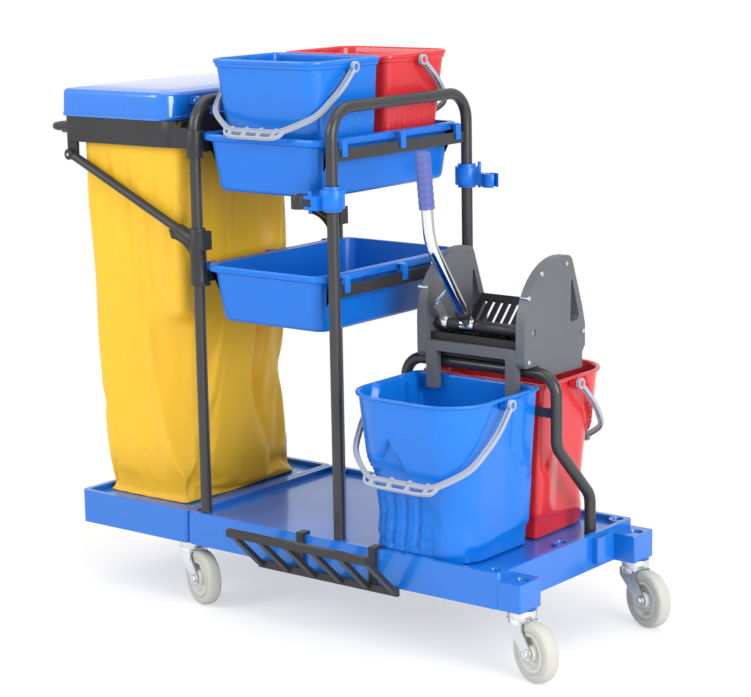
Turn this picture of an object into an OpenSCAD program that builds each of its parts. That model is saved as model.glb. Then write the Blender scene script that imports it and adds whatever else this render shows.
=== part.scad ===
// Janitor cart: a moulded deck on four swivel casters, two hoop frames with lift-out trays,
// four buckets with bails, a lever wringer on a tube stand and a bag holder with a hinged lid.
// Millimetres, +Z up. +X points to the wringer end and +Y away from the front long side.
// The origin is on the floor under the middle of the cart.

/* [Deck] */
// Width of the deck, front to back
deck_w = 410; // [380:1:460]
// Length of the main deck
main_len = 682; // [660:1:760]
// Length of the bag platform
bag_len = 268; // [250:1:320]
// Height of the deck's side walls
deck_h = 61; // [50:1:80]
// Width of the raised rim round the deck
rim_w = 10; // [8:0.5:11]
// Drop from the rim to the floor of the deck
floor_drop = 9; // [6:0.5:14]
// Wall thickness of the deck moulding
deck_wall = 4; // [3:0.5:6]

/* [Casters] */
// Diameter of a wheel
wheel_d = 100; // [75:1:125]
// Width of a wheel
wheel_w = 25; // [20:1:32]
// Trail of the wheel behind its swivel
trail = 37; // [28:1:42]
// Distance of the right-hand swivels beyond the deck's end
swivel_out_right = 25; // [18:1:30]
// Distance of the left-hand swivels beyond the main deck's end
swivel_out_left = 18; // [16:1:30]
// Direction in which the wheels trail, in degrees from +X
trail_dir = -20; // [-45:1:45]

/* [Frames] */
// Diameter of the frame tube
tube_d = 20; // [16:1:25]
// Height of the hoop's top, at the tube's centre
hoop_z = 909; // [880:1:980]
// Bend radius of a hoop, at the tube's centre
hoop_bend = 50; // [40:1:80]
// Inset of the posts from the deck's long sides
post_inset = 15; // [14:1:20]
// Distance from the main deck's left end to the bag-side frame
post_a_in = 34; // [30:1:50]
// Distance between the two frames
frame_pitch = 307; // [290:1:330]

/* [Trays] */
// Height of the upper tray's rim
upper_rim_z = 856; // [840:1:870]
// Height of the lower tray's rim
lower_rim_z = 627; // [560:1:660]
// Depth of a tray
tray_h = 101; // [80:1:120]
// Wall thickness of a tray
tray_wall = 3; // [2.5:0.5:4]

/* [Buckets] */
// Length of a small bucket at its rim
small_len = 246; // [200:1:256]
// Height of a small bucket
small_h = 226; // [180:1:260]
// Length of a large bucket at its rim
large_len = 262; // [220:1:270]
// Height of a large bucket
large_h = 276; // [220:1:280]
// Wall thickness of a bucket
bucket_wall = 3; // [2.5:0.5:4]

/* [Wringer] */
// Length of the wringer over its cheeks
wringer_len = 224; // [200:1:236]
// Thickness of a cheek
cheek_t = 18; // [14:1:22]
// Diameter of the lever tube
lever_d = 20; // [18:1:24]
// Angle of the lever's foot from upright
lever_lean = 35; // [25:1:40]

/* [Bag holder] */
// Length of the bag frame, away from the posts
bag_frame_len = 280; // [262:1:284]
// Height of the bag frame's lower edge
bag_frame_z = 826; // [815:1:840]
// Height of the lid
lid_h = 54; // [45:1:65]

/* [Hidden] */
$fn = 48;

blue = [0.1, 0.4, 0.85];
red = [0.8, 0.16, 0.2];
black = [0.12, 0.12, 0.13];
tube_grey = [0.24, 0.24, 0.25];
wringer_grey = [0.5, 0.53, 0.56];
zinc = [0.75, 0.76, 0.78];
bail_grey = [0.82, 0.83, 0.86];
yellow = [0.95, 0.75, 0.25];
tyre_grey = [0.7, 0.7, 0.66];

eps = 0.01;
gap = 0.3;                                  // standing clearance between separate pieces

// Casters
wheel_r = wheel_d / 2;
deck_bottom = wheel_d + 14.5;
deck_top = deck_bottom + deck_h;
floor_z = deck_top - floor_drop;
floor_t = 4;
box_out = 42;                               // reach of a caster box beyond the deck's end
box_w = 62;
box_z = floor_z - floor_t - gap;            // top of a caster box
swivel_y = 32;                              // swivel from the deck's long side
caster_xy = [[swivel_out_right, swivel_y], [swivel_out_right, deck_w - swivel_y],
    [-main_len - swivel_out_left, swivel_y], [-main_len - swivel_out_left, deck_w - swivel_y]];

// Places of the two frames
post_a = post_a_in - main_len;
post_b = post_a + frame_pitch;

// Extent of the whole cart, which centres it on the origin
handle_out = 45;                            // push handle's centre line beyond the bag frame
handle_d = 14;
ring_x1 = post_a - 36;  // side of the bag frame next to the posts
ring_x0 = ring_x1 - bag_frame_len;
cart_x0 = ring_x0 - handle_out - handle_d / 2;
tread_edge = 7;                             // width of the rounding at each side of the tread
cart_x1 = swivel_out_right + (trail + wheel_r) * cos(trail_dir)
    + (wheel_w / 2 - tread_edge) * abs(sin(trail_dir));
rest_out = 92;                              // reach of the broom rest in front of the deck
grip_h = 18;
bail_t = 8;
large_drop = 176;
large_swing = 45;                           // rest angle of a large bail from straight down
large_pin_y = 102;
bail_reach = (large_drop + grip_h + 1) * sin(large_swing) + bail_t / 2 * cos(large_swing);
back_out = bail_reach - large_pin_y;        // reach of the large red bail behind the deck
shift = [-(cart_x0 + cart_x1) / 2, -(deck_w + back_out - rest_out) / 2, 0];

post_y = [post_inset, deck_w - post_inset];
mid_y = deck_w / 2;

module cart() translate(shift) children();

// Rounded rectangle with corner radius rf at the front and rb at the back
module plate2d(x0, x1, y0, y1, rf, rb) {
    translate([x0 + rf, y0]) square([x1 - x0 - 2 * rf, y1 - y0]);
    translate([x0, y0 + rf]) square([x1 - x0, y1 - y0 - rf - rb]);
    translate([x0 + rb, y0 + rf]) square([x1 - x0 - 2 * rb, y1 - y0 - rf]);
    for (x = [x0 + rf, x1 - rf]) translate([x, y0 + rf]) circle(rf);
    for (x = [x0 + rb, x1 - rb]) translate([x, y1 - rb]) circle(rb);
}

module slab(x0, x1, y0, y1, z0, z1, rf, rb = 0)
    translate([0, 0, z0]) linear_extrude(z1 - z0) plate2d(x0, x1, y0, y1, rf, rb > 0 ? rb : rf);

// Slab whose corner radii differ between its left and right ends
module end_slab(x0, x1, y0, y1, z0, z1, rl, rr)
    mirror([1, -1, 0]) slab(y0, y1, x0, x1, z0, z1, rl, rr);

module box(a, b) translate(a) cube(b - a);

// Outline drawn in Y and Z, given a thickness from x0 to x1
module yz(x0, x1) translate([x0, 0, 0]) rotate([90, 0, 90]) linear_extrude(x1 - x0) children();

// Outline drawn in X and Z, given a thickness from y0 to y1
module xz(y0, y1) translate([0, y1, 0]) rotate([90, 0, 0]) linear_extrude(y1 - y0) children();

module rod_z(x, y, z0, z1, d) translate([x, y, z0]) cylinder(d = d, h = z1 - z0);
module rod_y(x, y0, y1, z, d) translate([x, y0, z]) rotate([-90, 0, 0]) cylinder(d = d, h = y1 - y0);
module rod_x(x0, x1, y, z, d) translate([x0, y, z]) rotate([0, 90, 0]) cylinder(d = d, h = x1 - x0);

function unit(v) = v / norm(v);
function turn_at(a, b) = 180 - acos(max(-1, min(1, a * b)));
function setback(a, b, r) = r * tan(turn_at(a, b) / 2);

// Points round an arc, for outlines
function arc(c, r, a0, a1, n = 12) = [for (k = [0 : n]) let (a = a0 + (a1 - a0) * k / n)
    [c[0] + r * cos(a), c[1] + r * sin(a)]];

// Outline of a sheet of thickness t folded along the points p
function normal_at(p, i) = let (
    a = unit(p[min(i, len(p) - 2) + 1] - p[min(i, len(p) - 2)]),
    b = unit(p[max(i, 1)] - p[max(i, 1) - 1]),
    m = unit(a + b)) [-m[1], m[0]] / (m * a);
function strip(p, t) = concat([for (i = [0 : len(p) - 1]) p[i] + normal_at(p, i) * t / 2],
    [for (i = [len(p) - 1 : -1 : 0]) p[i] - normal_at(p, i) * t / 2]);

// Round bar from point a to point b
module rod(a, b, d) {
    u = unit(b - a);
    side = abs(u[2]) > 0.9 ? unit(cross([0, 1, 0], u)) : unit(cross([0, 0, 1], u));
    v = cross(u, side);
    multmatrix([[side[0], v[0], u[0], a[0]], [side[1], v[1], u[1], a[1]],
        [side[2], v[2], u[2], a[2]], [0, 0, 0, 1]])
        cylinder(d = d, h = norm(b - a));
}

// Round bar along straight runs with a bend of radius r at each inner point. A bend is a hair
// thicker than the runs, which reach a little way into it, so that the pieces always join.
swell = 0.1;
module pipe(p, r, d) {
    last = len(p) - 1;
    for (i = [0 : last - 1]) {
        u = unit(p[i + 1] - p[i]);
        s0 = i == 0 ? 0 : setback(unit(p[i - 1] - p[i]), u, r);
        s1 = i == last - 1 ? 0 : setback(-u, unit(p[i + 2] - p[i + 1]), r);
        rod(p[i] + u * (s0 - min(s0, swell)), p[i + 1] - u * (s1 - min(s1, swell)), d);
    }
    for (i = [1 : last - 1]) {
        a = unit(p[i - 1] - p[i]);
        b = unit(p[i + 1] - p[i]);
        turn = turn_at(a, b);
        s = p[i] + a * setback(a, b, r);
        c = p[i] + unit(a + b) * r / cos(turn / 2);
        x = unit(s - c);
        z = cross(x, -a);
        multmatrix([[x[0], -a[0], z[0], c[0]], [x[1], -a[1], z[1], c[1]],
            [x[2], -a[2], z[2], c[2]], [0, 0, 0, 1]])
            rotate_extrude(angle = turn) translate([r, 0]) circle(d = d + swell);
    }
}

// Deck: a tray moulding with a raised rim, a ribbed underside, sockets for the posts and the
// wringer stand, tool holes in the right-hand rim and a box for each caster.
socket_d = 29;
socket_depth = 38;
stand_y = mid_y;
stand_x = [-337, -23];
stand_foot_y = mid_y + 103;
tool_hole_d = 20;
tool_hole_in = 19;
tool_holes = [[-tool_hole_in, tool_hole_in], [-tool_hole_in, mid_y + 7],
    [-tool_hole_in, deck_w - tool_hole_in]];

module caster_box(p, side) {
    x0 = side > 0 ? -deck_wall : -main_len - box_out;
    x1 = side > 0 ? box_out : -main_len + deck_wall;
    inset = side > 0 ? 1 : deck_wall + 1;
    y = p[1] < mid_y ? [inset, box_w] : [deck_w - box_w, deck_w - inset];
    slab(x0, x1, y[0], y[1], deck_bottom, box_z, 3);
}

module main_deck() cart() color(blue) difference() {
    union() {
        difference() {
            slab(-main_len, 0, 0, deck_w, deck_bottom, deck_top, 9);
            translate([0, 0, floor_z]) linear_extrude(floor_drop + 1) difference() {
                plate2d(-main_len + rim_w, -rim_w, rim_w, deck_w - rim_w, 8, 8);
                for (x = [post_a, post_b], y = post_y) translate([x, y]) circle(d = socket_d);
                for (h = tool_holes) translate(h) circle(d = tool_hole_d + 12);
            }
            slab(-main_len + deck_wall, -deck_wall, deck_wall, deck_w - deck_wall,
                deck_bottom - 1, floor_z - floor_t, 6);
        }
        for (x = [post_a, post_b], y = post_y)
            rod_z(x, y, deck_top - socket_depth - 4, deck_top, socket_d);
        for (x = stand_x) rod_z(x, stand_foot_y, floor_z - 30, floor_z, socket_d);
        for (h = tool_holes) rod_z(h[0], h[1], deck_bottom + 8, floor_z, tool_hole_d + 12);
        // Ribs under the floor
        for (x = [-main_len / 6 : -main_len / 6 : -main_len + 60])
            box([x - 2, deck_wall - eps, deck_bottom + 20], [x + 2, deck_w - deck_wall + eps, floor_z - eps]);
        box([-main_len + eps, mid_y - 2, deck_bottom + 20], [-eps, mid_y + 2, floor_z - eps]);
        for (i = [0 : 3]) caster_box(caster_xy[i], i < 2 ? 1 : -1);
        // Moulded pocket on the right-hand end wall
        box([-eps, mid_y + 74, deck_bottom + 10], [11, mid_y + 122, deck_top - 6]);
    }
    for (x = [post_a, post_b], y = post_y)
        rod_z(x, y, deck_top - socket_depth, deck_top + 1, tube_d + 2 * gap);
    for (x = stand_x) rod_z(x, stand_foot_y, floor_z - 25, floor_z + 1, tube_d + 2 * gap);
    for (h = tool_holes) rod_z(h[0], h[1], deck_bottom - 1, deck_top + 1, tool_hole_d);
    // Hollow caster boxes with the stem's bore in their roof
    for (p = caster_xy) {
        rod_z(p[0], p[1], deck_bottom - 1, box_z + 1, stem_d + 2 * gap);
        rod_z(p[0], p[1], box_z - 14, box_z + 1, 26);
    }
    for (p = bolt_xy) rod_z(p[0], p[1], deck_bottom + 1, box_z + 1, bolt_d + 2 * gap);
    box([4, mid_y + 82, deck_bottom + 16], [7, mid_y + 114, deck_top]);
}

// Bag platform: a second tray moulding that drops over the left-hand caster boxes
platform_gap = 1;
module bag_platform() cart() color(blue) difference() {
    x0 = -main_len - bag_len;
    x1 = -main_len - platform_gap;
    slab(x0, x1, 0, deck_w, deck_bottom, deck_top, 9);
    slab(x0 + rim_w, x1 - rim_w, rim_w, deck_w - rim_w, floor_z, deck_top + 1, 8);
    slab(x0 + deck_wall, x1 + 20, deck_wall, deck_w - deck_wall, deck_bottom - 1, floor_z - floor_t, 6);
    for (p = bolt_xy) {
        rod_z(p[0], p[1], deck_bottom, deck_top, bolt_d + 2 * gap);
        rod_z(p[0], p[1], floor_z - bolt_head_t - gap, deck_top, 2 * bolt_d + 2 * gap);
    }
}

bolt_d = 8;
bolt_head_t = 2.7;
bolt_xy = [for (y = [box_w - 9, deck_w - box_w + 9]) [-main_len - box_out + 9, y]];
module platform_bolts() cart() color(zinc) for (p = bolt_xy) {
    rod_z(p[0], p[1], deck_bottom + 3, floor_z - bolt_head_t, bolt_d);
    rod_z(p[0], p[1], floor_z - bolt_head_t, floor_z - gap, 2 * bolt_d);
}

// Hoop frame: two posts and a top bent from one tube, with a flat bar welded across for each tray
bar_h = 20;
bar_t = 4;
bar_drop = 26;                              // rim of a tray above its bar's centre
bars_z = [upper_rim_z - bar_drop, lower_rim_z - bar_drop];
module hoop(x) {
    foot = deck_top - socket_depth + gap;
    pipe([[x, post_y[0], foot], [x, post_y[0], hoop_z], [x, post_y[1], hoop_z], [x, post_y[1], foot]],
        hoop_bend, tube_d);
    for (z = bars_z) difference() {
        box([x - bar_t / 2, post_y[0], z - bar_h / 2], [x + bar_t / 2, post_y[1], z + bar_h / 2]);
        for (y = post_y) rod_z(x, y, z - bar_h, z + bar_h, tube_d - 2);
    }
}
module bag_side_frame() cart() color(tube_grey) hoop(post_a);
module bucket_side_frame() cart() color(tube_grey) hoop(post_b);

// Tray: a tapered tub with a rim band and three hooks over the bar at each end
tray_gap = 11.5;                            // rim of a tray from the frames' centre lines
tray_x = [post_a + tray_gap, post_b - tray_gap];
tray_y = [8, deck_w - 8];
tray_band = 12;
tray_taper = 24;
tray_r = 34;
hook_y = [mid_y - 160, mid_y, mid_y + 160];
hook_w = 14;
hook_t = 3;

module tub(x, y, z0, z1, taper_x, taper_y, r0, r1) hull() {
    slab(x[0] + taper_x, x[1] - taper_x, y[0] + taper_y, y[1] - taper_y, z0, z0 + 0.5, r0);
    slab(x[0], x[1], y[0], y[1], z1 - 0.5, z1, r1);
}

module tray(rim_z) {
    w = tray_wall;
    bar_z = rim_z - bar_drop;
    $fn = 32;
    difference() {
        union() {
            slab(tray_x[0], tray_x[1], tray_y[0], tray_y[1], rim_z - tray_band, rim_z, tray_r);
            tub(tray_x + [5, -5], tray_y + [5, -5], rim_z - tray_h, rim_z - tray_band + 1,
                tray_taper - 5, tray_taper - 11, tray_r - 8, tray_r - 5);
        }
        tub(tray_x + [5 + w, -5 - w], tray_y + [5 + w, -5 - w], rim_z - tray_h + w, rim_z + 1,
            tray_taper - 5, tray_taper - 11, tray_r - 8 - w, tray_r - 5 - w);
    }
    for (side = [-1, 1], y = hook_y) {
        bar_x = side < 0 ? post_a : post_b;
        rim_x = side < 0 ? tray_x[0] : tray_x[1];
        out = bar_t / 2 + gap;
        translate([bar_x, y - hook_w / 2, 0]) mirror([side < 0 ? 1 : 0, 0, 0]) {
            box([-tray_gap - 2, 0, rim_z - hook_t], [out + hook_t, hook_w, rim_z]);
            box([out, 0, bar_z - 4], [out + hook_t, hook_w, rim_z - hook_t + eps]);
            box([-bar_t / 2, 0, bar_z + bar_h / 2 + gap / 3], [bar_t / 2, hook_w, rim_z - hook_t + eps]);
        }
    }
}
module upper_tray() cart() color(blue) tray(upper_rim_z);
module lower_tray() cart() color(blue) tray(lower_rim_z);

// Bucket: a tapered tub with a rolled rim, a slanting front that is rounder at its foot and a
// pin at each end for the bail
pin_d = 10;
pin_len = 9;
rim_lip = 5;
module bucket(xc, len, y, z0, h, slant, taper, rf, rb, foot_r, pin_y, pin_z) {
    w = bucket_wall;
    x = [xc - len / 2, xc + len / 2];
    xb = x + [rim_lip, -rim_lip];
    yb = y + [rim_lip, -rim_lip];
    $fn = 32;
    difference() {
        union() {
            slab(x[0], x[1], y[0], y[1], z0 + h - 4, z0 + h, rf, rb);
            slab(x[0] + 2, x[1] - 2, y[0] + 2, y[1] - 2, z0 + h - 14, z0 + h - 3, rf - 2, rb - 2);
            hull() {
                slab(xb[0] + taper, xb[1] - taper, yb[0] + slant, yb[1] - 3, z0, z0 + 0.5, foot_r, rb - 5);
                slab(xb[0], xb[1], yb[0], yb[1], z0 + h - 4, z0 + h - 3.5, rf - 5, rb - 5);
            }
            for (s = [0, 1]) rod_x(s == 0 ? x[0] - pin_len : x[1] - 8, s == 0 ? x[0] + 8 : x[1] + pin_len,
                pin_y, pin_z, pin_d);
        }
        hull() {
            slab(xb[0] + taper + w, xb[1] - taper - w, yb[0] + slant + w, yb[1] - 3 - w,
                z0 + w, z0 + w + 0.5, foot_r - w, rb - 5 - w);
            slab(xb[0] + w, xb[1] - w, yb[0] + w, yb[1] - w, z0 + h, z0 + h + 0.5, rf - 5 - w, rb - 5 - w);
        }
    }
}

// Bail: a moulded arch that turns on the bucket's pins, drawn hanging forward at its rest angle.
// The grip has three slots and finger bumps along its outer edge.
eye_d = 19;
module bar2d(a, b, w) {
    u = unit(b - a);
    n = [-u[1], u[0]] * w / 2;
    polygon([a - n, b - n, b + n, a + n]);
    translate(a) circle(d = w);
    translate(b) circle(d = w);
}
module bail(xc, len, pin_y, pin_z, drop, grip_half, swing) {
    half = len / 2 + pin_len / 2 + 1;
    knee = [half, -drop * 0.55];
    shoulder = [grip_half, -drop];
    slots = [-1, 0, 1] * (grip_half - 6) * 0.62;
    slot_w = (grip_half - 6) * 0.46;
    translate([xc, pin_y, pin_z]) rotate([-swing, 0, 0]) difference() {
        union() {
            for (s = [-1, 1]) {
                rod_x(s * half - 3.5, s * half + 3.5, 0, 0, eye_d);
                xz(-bail_t / 2, bail_t / 2) {
                    bar2d([s * half, -eye_d / 2 + 3], [s * knee[0], knee[1]], 7);
                    bar2d([s * knee[0], knee[1]], [s * shoulder[0], shoulder[1]], 7);
                }
            }
            xz(-bail_t / 2, bail_t / 2) {
                bar2d([-grip_half, -drop], [grip_half, -drop], 7);
                difference() {
                    translate([-grip_half + 6, -drop - grip_h + 3.5]) square([2 * grip_half - 12, grip_h]);
                    for (x = slots) translate([x - slot_w / 2, -drop - grip_h + 9]) square([slot_w, 7]);
                }
                for (k = [-1.5 : 1.5]) translate([k * (grip_half - 6) / 2, -drop - grip_h + 4]) circle(r = 5);
            }
        }
        for (s = [-1, 1]) rod_x(s * half - 5, s * half + 5, 0, 0, pin_d + 0.2);
    }
}

// The red buckets are the blue ones turned to face the back
module facing_back() translate([0, deck_w, 0]) mirror([0, 1, 0]) children();

small_x = (tray_x[0] + tray_x[1]) / 2 + 2;
small_z = upper_rim_z - tray_h + tray_wall + gap;
small_pin = [110, small_z + small_h - 13];
module small_bucket() bucket(small_x, small_len, [10, mid_y - 7], small_z, small_h, 30, 14, 36, 20, 30,
    small_pin[0], small_pin[1]);
module small_bail() bail(small_x, small_len, small_pin[0], small_pin[1], 156, 62, 48);
module small_blue_bucket() cart() color(blue) small_bucket();
module small_red_bucket() cart() color(red) facing_back() small_bucket();
module small_blue_bail() cart() color(bail_grey) small_bail();
module small_red_bail() cart() color(bail_grey) facing_back() small_bail();

large_x = (stand_x[0] + stand_x[1]) / 2 + 1;
large_z = floor_z + gap;
large_pin = [large_pin_y, large_z + large_h - 13];
module large_bucket() bucket(large_x, large_len, [-26, mid_y - 2], large_z, large_h, 39, 18, 80, 16, 56,
    large_pin[0], large_pin[1]);
module large_bail() bail(large_x, large_len, large_pin[0], large_pin[1], large_drop, 72, large_swing);
module large_blue_bucket() cart() color(blue) large_bucket();
module large_red_bucket() cart() color(red) facing_back() large_bucket();
module large_blue_bail() cart() color(bail_grey) large_bail();
module large_red_bail() cart() color(bail_grey) facing_back() large_bail();

// Wringer stand: one tube bent to stand in the deck and pass between the large buckets, with
// a flat bar welded across its legs
stand_z = large_z + large_h + 20.7;         // centre of the stand's top run
stand_bar_z = stand_z - 65.5;               // centre of its crossbar
stand_bend_z = [stand_z - 227.5, stand_z - 123.5];
stand_foot_z = floor_z - 25 + gap;
module wringer_stand() cart() color(tube_grey) {
    leg = function (x) [[x, stand_foot_y, stand_foot_z], [x, stand_foot_y, stand_bend_z[0]],
        [x, stand_y, stand_bend_z[1]]];
    top = [[stand_x[0], stand_y, stand_z], [stand_x[1], stand_y, stand_z]];
    right = leg(stand_x[1]);
    left = leg(stand_x[0]);
    pipe([left[0], left[1], left[2], top[0], top[1], right[2], right[1], right[0]], 36, tube_d);
    difference() {
        box([stand_x[0], stand_y - 1.5, stand_bar_z - 8], [stand_x[1], stand_y + 1.5, stand_bar_z + 8]);
        for (x = stand_x) rod_z(x, stand_y, stand_bar_z - 18, stand_bar_z + 18, tube_d - 2);
    }
}

// Wringer: two cheeks, a front crossbar with two hanging legs, and a perforated basket
wr_x = [large_x - wringer_len / 2, large_x + wringer_len / 2];
wr_y0 = stand_y - 29;                       // front of the cheeks
wr_y1 = wr_y0 + 184;                        // back of the cheeks
wr_seat_z = stand_z + tube_d / 2 + gap;     // where the cheeks stand on the tube
wr_low_z = stand_z - 15;
wr_step_y = stand_y + tube_d / 2 + 3;       // back of the notch that sits on the tube
cheek_r = 113;
cheek_c = [wr_y0 + cheek_r, stand_z + 74.5];
function cheek_outline() = concat(
    [[wr_y0, wr_seat_z + 8], [wr_y0 + 4, wr_seat_z], [wr_step_y, wr_seat_z],
     [wr_step_y, wr_low_z + 8], [wr_step_y + 8, wr_low_z], [wr_y1 - 9, wr_low_z],
     [wr_y1 - 9, stand_z + 12], [wr_y1, stand_z + 23], [wr_y1, stand_z + 60], [wr_y1 - 9, stand_z + 93]],
    arc([wr_y1 - 56, stand_z + 167.5], 19, 18, 88, 6),
    arc(cheek_c, cheek_r, 90, 180, 16));
module cheek_hole2d() translate([wr_y1, stand_z])
    polygon([[-43, 142], [-39, 142], [-19, 77], [-23, 71], [-43, 69], [-46, 74]]);
shaft_y = wr_step_y - 13;
shaft_z = wr_seat_z + 57.2;
shaft_d = 12;
module cheek(x0) difference() {
    yz(x0, x0 + cheek_t) difference() {
        polygon(cheek_outline());
        cheek_hole2d();
    }
    rod_x(x0 - 1, x0 + cheek_t + 1, shaft_y, shaft_z, shaft_d + 0.1);
    for (p = screw_yz) rod_x(x0 - 1, x0 + cheek_t + 1, p[0], p[1], screw_d + 2 * gap);
}
module wringer_left_cheek() cart() color(wringer_grey) cheek(wr_x[0]);
module wringer_right_cheek() cart() color(wringer_grey) cheek(wr_x[1] - cheek_t);

in_x = [wr_x[0] + cheek_t + gap, wr_x[1] - cheek_t - gap];
leg_w = 22;
leg_t = 14;
leg_low_z = stand_z - 43.5;
front_bar_z = [stand_z + 22.5, stand_z + 39.5];
module wringer_crossbar() cart() color(wringer_grey) {
    difference() {
        box([in_x[0], wr_y0, front_bar_z[0]], [in_x[1], wr_y0 + 12, front_bar_z[1]]);
        box([in_x[0] + 8, wr_y0 + 3, front_bar_z[0] + 3], [in_x[1] - 8, wr_y0 + 13, front_bar_z[1] - 3]);
    }
    for (x = [in_x[0], in_x[1] - leg_w]) difference() {
        box([x, wr_y0, leg_low_z], [x + leg_w, wr_y0 + leg_t, front_bar_z[0] + eps]);
        box([x + 3, wr_y0 + 3, leg_low_z + 3], [x + leg_w - 3, wr_y0 + leg_t + 1, front_bar_z[0] - 6]);
    }
}

// Basket: a folded sheet that catches the mop, with rows of drain slots
basket_t = 3;
basket_floor_z = wr_seat_z + 4.7;
basket_path = [[wr_y0 + 16, stand_z + 52.5], [wr_y0 + 16, basket_floor_z], [wr_step_y + 4, basket_floor_z],
    [wr_step_y + 23, stand_z - 10.5], [wr_y1 - 16, stand_z + 96.5]];
module wringer_basket() cart() color(black) difference() {
    yz(in_x[0], in_x[1]) polygon(strip(basket_path, basket_t));
    // Drain slots through the sloping back wall and the bottom
    for (k = [0 : 9]) {
        x = in_x[0] + 14 + k * (in_x[1] - in_x[0] - 34) / 9;
        box([x, stand_y + 44, stand_z - 20], [x + 6, wr_y1 - 70, stand_z + 90]);
        box([x, wr_y1 - 58, stand_z], [x + 6, wr_y1 - 26, stand_z + 110]);
    }
}

// Press: a ribbed plate on the shaft, swung back against the basket by the lever
press_r = 70;
press_rest = 30;                            // angle of the plate behind straight down
module press_plate() cart() color(black)
    translate([0, shaft_y, shaft_z]) rotate([press_rest, 0, 0]) difference() {
        union() {
            box([in_x[0] + 5, -2.5, -press_r], [in_x[1] - 5, 2.5, -4]);
            rod_x(in_x[0] + 5, in_x[1] - 5, 0, 0, shaft_d + 8);
            for (k = [0 : 5]) {
                x = in_x[0] + 8 + k * (in_x[1] - in_x[0] - 20) / 5;
                box([x, -8, -press_r + 8], [x + 4, 0, -5]);
            }
        }
        rod_x(in_x[0], in_x[1], 0, 0, shaft_d + 0.1);
        box([lever_x - 16, -30, -16], [lever_x + 16, 30, 30]);
        box([brace_x - 6, -30, -16], [brace_x + 8, 30, 30]);
    }
module wringer_shaft() cart() color(zinc)
    rod_x(wr_x[0] + 3, wr_x[1] - 3, shaft_y, shaft_z, shaft_d);

lever_x = large_x - 22;
lever_knee_r = 190;
lever_top = [-126, 305];                    // top of the lever from the shaft, in Y and Z
lever_knee = [-sin(lever_lean) * lever_knee_r, cos(lever_lean) * lever_knee_r];
lever_path = [[0, 0, 0], [0, lever_knee[0], lever_knee[1]], [0, lever_top[0], lever_top[1]]];
module lever_frame() translate([lever_x, shaft_y, shaft_z]) children();
module wringer_lever() cart() color(zinc) lever_frame() difference() {
    union() {
        pipe(lever_path, 90, lever_d);
        rod_x(-14, 14, 0, 0, lever_d + 2);
    }
    difference() {
        pipe(lever_path, 90, lever_d - 4);
        sphere(d = 2 * lever_d);
    }
    rod_x(-20, 20, 0, 0, shaft_d + 0.1);
}
grip_len = 96;
grip_d = 27;
module lever_grip() cart() color([0.42, 0.42, 0.78]) lever_frame() {
    k = [0, lever_knee[0], lever_knee[1]];
    t = [0, lever_top[0], lever_top[1]];
    u = unit(t - k);
    a = atan2(-u[1], u[2]);
    translate(t - u * (grip_len - 4)) rotate([a, 0, 0]) difference() {
        rotate_extrude() polygon(concat([[0, 0], [grip_d / 2, 0]],
            [for (i = [1 : 15]) [grip_d / 2 - (i % 2) * 0.8, i * (grip_len - 8) / 15]],
            [[grip_d / 2 - 1, grip_len - 3], [grip_d / 2 - 5, grip_len], [0, grip_len]]));
        translate([0, 0, -1]) cylinder(d = lever_d + 0.2, h = grip_len - 4 + 1 + 0.3);
    }
}
brace_x = lever_x - 48;
module lever_brace() cart() color(zinc) lever_frame() {
    dx = brace_x - lever_x;
    u = [0, -sin(lever_lean), cos(lever_lean)];
    // Ring on the shaft at the left, an upright strap and a slanting slotted strap to the lever
    difference() {
        union() {
            rod_x(dx - 5, dx + 7, 0, 0, 22);
            rotate([lever_lean, 0, 0]) box([dx - 1.5, -9, 6], [dx + 1.5, 9, 46]);
            rotate([lever_lean, 0, 0]) difference() {
                xz(-1.5, 1.5) polygon([[dx - 1.5, 42], [dx - 1.5, 52], [-4, 92], [-4, 80]]);
                rod_y(dx + 22, -20, 20, 62, 4);
            }
        }
        rod_x(dx - 10, dx + 12, 0, 0, shaft_d + 0.1);
        rotate([lever_lean, 0, 0]) cylinder(d = lever_d + 0.2, h = 140);
    }
}
module lever_clamp() cart() color(black) lever_frame() rotate([lever_lean, 0, 0]) difference() {
    translate([0, 0, 24]) cylinder(d = lever_d + 8, h = 10);
    translate([0, 0, 20]) cylinder(d = lever_d + 0.2, h = 20);
}

screw_d = 5;
screw_yz = [[wr_y0 + 12, stand_z + 128.5], [wr_y0 + 50, stand_z + 164.5], [wr_y1 - 60, stand_z + 172.5],
    [wr_y1 - 8, stand_z + 48.5], [wr_y0 + 10, stand_z + 20.5]];
module cheek_screws() cart() color(zinc) for (side = [0, 1], p = screw_yz) {
    out = side > 0 ? wr_x[1] : wr_x[0];
    s = side > 0 ? 1 : -1;
    rod_x(min(out, out - s * (cheek_t - 2)), max(out, out - s * (cheek_t - 2)), p[0], p[1], screw_d);
    rod_x(min(out + s * gap, out + s * 2.5), max(out + s * gap, out + s * 2.5), p[0], p[1], 8);
    rod_x(min(out - eps, out + s * gap), max(out + eps, out + s * gap), p[0], p[1], screw_d);
}

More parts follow.
